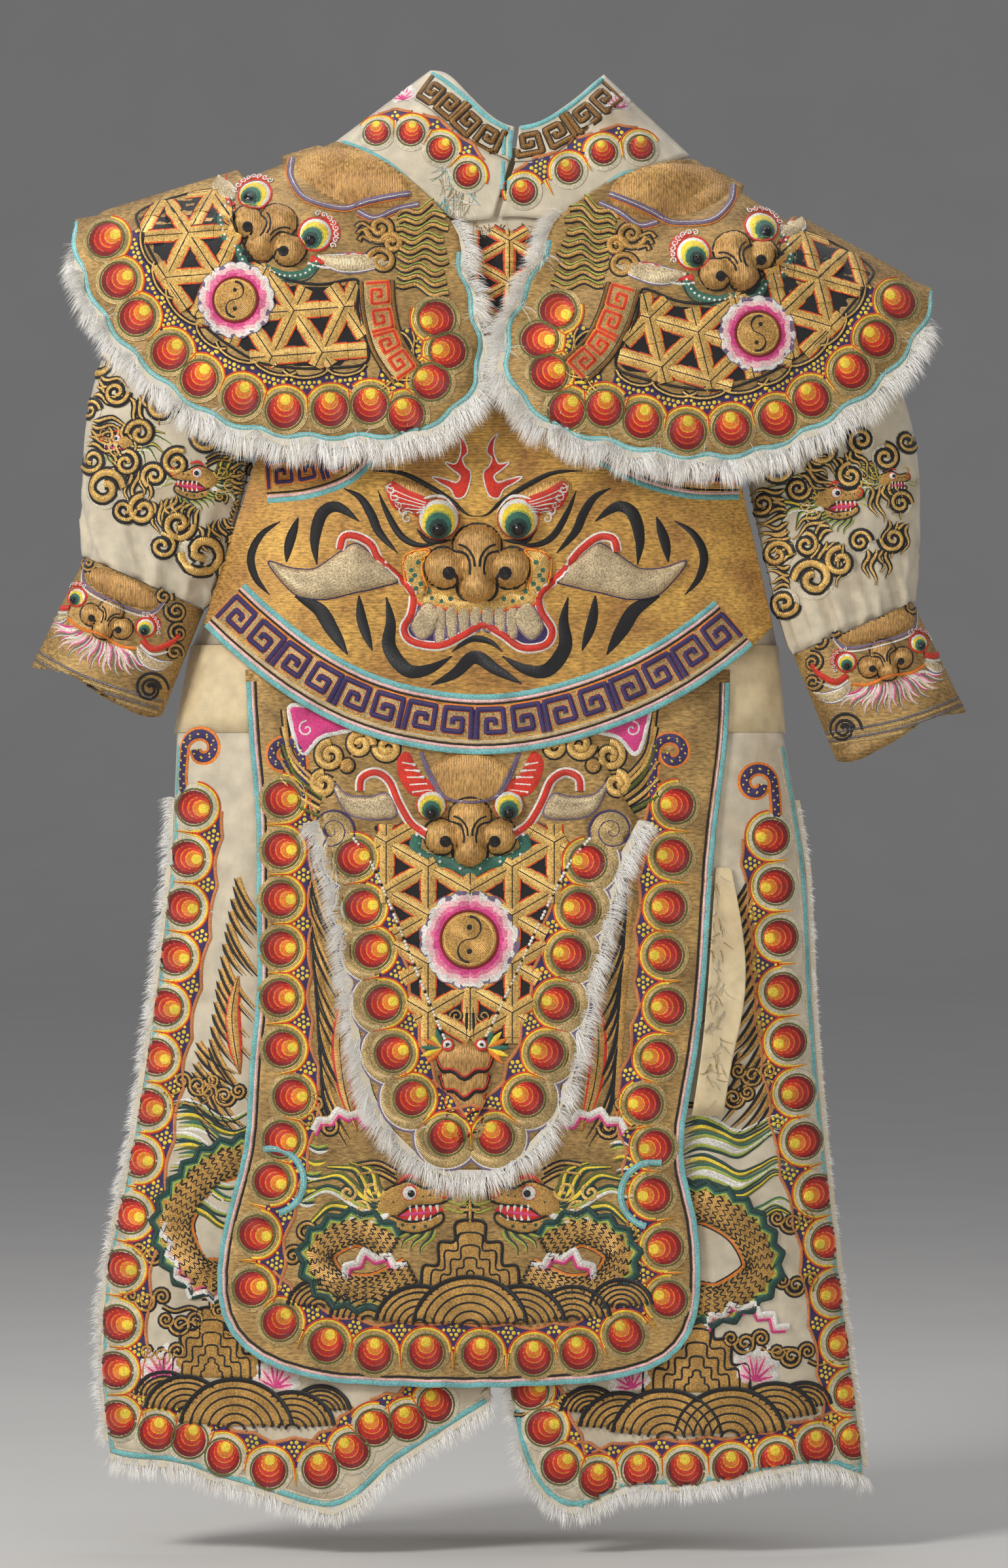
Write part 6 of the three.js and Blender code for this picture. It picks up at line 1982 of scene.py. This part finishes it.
class ROBE_OT_stage(bpy.types.Operator):
    """Makes the camera, the floor, the backdrop and the soft light"""

    bl_idname = "robe.stage"
    bl_label = "Stage"

    def execute(self, context):
        look = context.scene.robe
        camera = bpy.data.cameras.new("camera")
        camera.sensor_width = 36
        camera.lens = camera.sensor_width * look.distance / look.view_height
        holder = bpy.data.objects.new("camera", camera)
        holder.location = (0, -look.distance - ROBE_FRONT, PICTURE_MIDDLE)
        holder.rotation_euler = (math.pi / 2, 0, 0)
        context.scene.collection.objects.link(holder)
        context.scene.camera = holder
        self.sweep(context)
        for name, place, size, power in (
            ("key", (-2.4, -2.3, 1.5), 1.1, 102),
            ("fill", (2.4, -3.2, 0.2), 2.6, 26),
            ("low", (0.2, -3.4, -0.9), 2.4, 12),
            ("top", (0.0, 0.6, 2.2), 2.0, 30),
        ):
            light = bpy.data.lights.new(name, "AREA")
            light.energy, light.size = power, size
            lamp = bpy.data.objects.new(name, light)
            lamp.location = place
            lamp.rotation_euler = (Vector((0, 0, -0.6)) - Vector(place)).to_track_quat("-Z", "Y").to_euler()
            context.scene.collection.objects.link(lamp)
        world = bpy.data.worlds.new("studio")
        world.use_nodes = True
        world.node_tree.nodes["Background"].inputs["Color"].default_value = (0.9, 0.92, 1.0, 1.0)
        world.node_tree.nodes["Background"].inputs["Strength"].default_value = 0.28
        context.scene.world = world
        context.scene.view_settings.view_transform = "Standard"
        context.scene.view_settings.look = "None"
        return {"FINISHED"}

    def sweep(self, context):
        """The floor, which curves up into a backdrop so far behind the robe that its back can be seen too."""
        floor, back, bend, reach = CAD_BOX[0][2] - 0.03, 22.0, 6.0, 22.0
        profile = [(-reach, floor), (back - bend, floor)]
        for i in range(1, 13):
            angle = math.radians(7.5 * i)
            profile.append((back - bend + bend * math.sin(angle), floor + bend * (1 - math.cos(angle))))
        profile.append((back, 9.0))
        corners = [(x, y, z) for y, z in profile for x in (-reach, reach)]
        faces = [(2 * i, 2 * i + 1, 2 * i + 3, 2 * i + 2) for i in range(len(profile) - 1)]
        mesh = soft_mesh("sweep", corners, faces)
        material, tree, shader, where = new_finish("pale paper", 0.0, 0.0, 0.2)
        tone = noise(tree, where, 3)
        colour = blend_colours(tree, tone, dye(214, 211, 205), dye(206, 203, 198))
        wire(tree, shader, colour, spread(tree, tone, 0.7, 0.8), tone, 0.05, 0.001)
        mesh.materials.append(material)
        sweep = bpy.data.objects.new("sweep", mesh)
        context.scene.collection.objects.link(sweep)


class ROBE_OT_cloth(bpy.types.Operator):
    """Cuts every cloth piece of the robe and gives it its finish"""

    bl_idname = "robe.cloth"
    bl_label = "Cloth"

    def execute(self, context):
        make_finishes(context.scene.robe)
        for node in CLOTH:
            cut_cloth(node)
        return {"FINISHED"}


class ROBE_OT_fur(bpy.types.Operator):
    """Grows the fur trims on the capes, the tail apron and the leg panels"""

    bl_idname = "robe.fur"
    bl_label = "Fur trims"

    def execute(self, context):
        FINISHES["fur"] = fur_finish()
        for node in FURS:
            fur_trim(node, context.scene.robe)
        return {"FINISHED"}


class ROBE_OT_capes(bpy.types.Operator):
    """Embroiders the two shoulder capes"""

    bl_idname = "robe.capes"
    bl_label = "Capes"

    def execute(self, context):
        stitch_cape("left", -1)
        stitch_cape("right", 1)
        return {"FINISHED"}


class ROBE_OT_neck(bpy.types.Operator):
    """Embroiders the collar, the yoke and the chest"""

    bl_idname = "robe.neck"
    bl_label = "Collar, yoke and chest"

    def execute(self, context):
        stitch_neck()
        stitch_chest()
        return {"FINISHED"}


class ROBE_OT_belly(bpy.types.Operator):
    """Stuffs and embroiders the belly panel's mask"""

    bl_idname = "robe.belly"
    bl_label = "Belly panel"

    def execute(self, context):
        stitch_belly()
        return {"FINISHED"}


class ROBE_OT_aprons(bpy.types.Operator):
    """Embroiders the front apron and the tail apron"""

    bl_idname = "robe.aprons"
    bl_label = "Aprons"

    def execute(self, context):
        stitch_apron()
        stitch_tail()
        return {"FINISHED"}


class ROBE_OT_legs(bpy.types.Operator):
    """Embroiders the two leg panels"""

    bl_idname = "robe.legs"
    bl_label = "Leg panels"

    def execute(self, context):
        stitch_leg("left")
        stitch_leg("right")
        return {"FINISHED"}


class ROBE_OT_arms(bpy.types.Operator):
    """Embroiders the sleeves and the cuffs"""

    bl_idname = "robe.arms"
    bl_label = "Sleeves and cuffs"

    def execute(self, context):
        for name in ("left", "right"):
            stitch_sleeve(name)
            stitch_cuff(name)
        return {"FINISHED"}


class ROBE_OT_back(bpy.types.Operator):
    """Edges the robe's back"""

    bl_idname = "robe.back"
    bl_label = "Back"

    def execute(self, context):
        stitch_back()
        return {"FINISHED"}


class ROBE_OT_wear(bpy.types.Operator):
    """Adds the frayed threads of an old robe"""

    bl_idname = "robe.wear"
    bl_label = "Loose threads"

    def execute(self, context):
        loose_threads(context.scene.robe)
        return {"FINISHED"}


class ROBE_PT_panel(bpy.types.Panel):
    """The robe's steps and settings"""

    bl_idname = "ROBE_PT_panel"
    bl_label = "Opera robe"
    bl_space_type = "VIEW_3D"
    bl_region_type = "UI"
    bl_category = "Robe"

    def draw(self, context):
        layout = self.layout
        look = context.scene.robe
        for name in RobeSettings.__annotations__:
            layout.prop(look, name)
        for step in STEPS:
            layout.operator(step.bl_idname)


STEPS = (
    ROBE_OT_stage, ROBE_OT_cloth, ROBE_OT_fur, ROBE_OT_capes, ROBE_OT_neck, ROBE_OT_belly, ROBE_OT_aprons,
    ROBE_OT_legs, ROBE_OT_arms, ROBE_OT_back, ROBE_OT_wear)
CLASSES = (RobeSettings, *STEPS, ROBE_PT_panel)


def register():
    for each in CLASSES:
        bpy.utils.register_class(each)
    bpy.types.Scene.robe = PointerProperty(type=RobeSettings)


def unregister():
    del bpy.types.Scene.robe
    for each in reversed(CLASSES):
        bpy.utils.unregister_class(each)


def main():
    """Registers the add-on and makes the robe."""
    register()
    bpy.ops.robe.stage()
    bpy.ops.robe.cloth()
    bpy.ops.robe.fur()
    bpy.ops.robe.capes()
    bpy.ops.robe.neck()
    bpy.ops.robe.belly()
    bpy.ops.robe.aprons()
    bpy.ops.robe.legs()
    bpy.ops.robe.arms()
    bpy.ops.robe.back()
    bpy.ops.robe.wear()


if __name__ == "__main__":
    main()
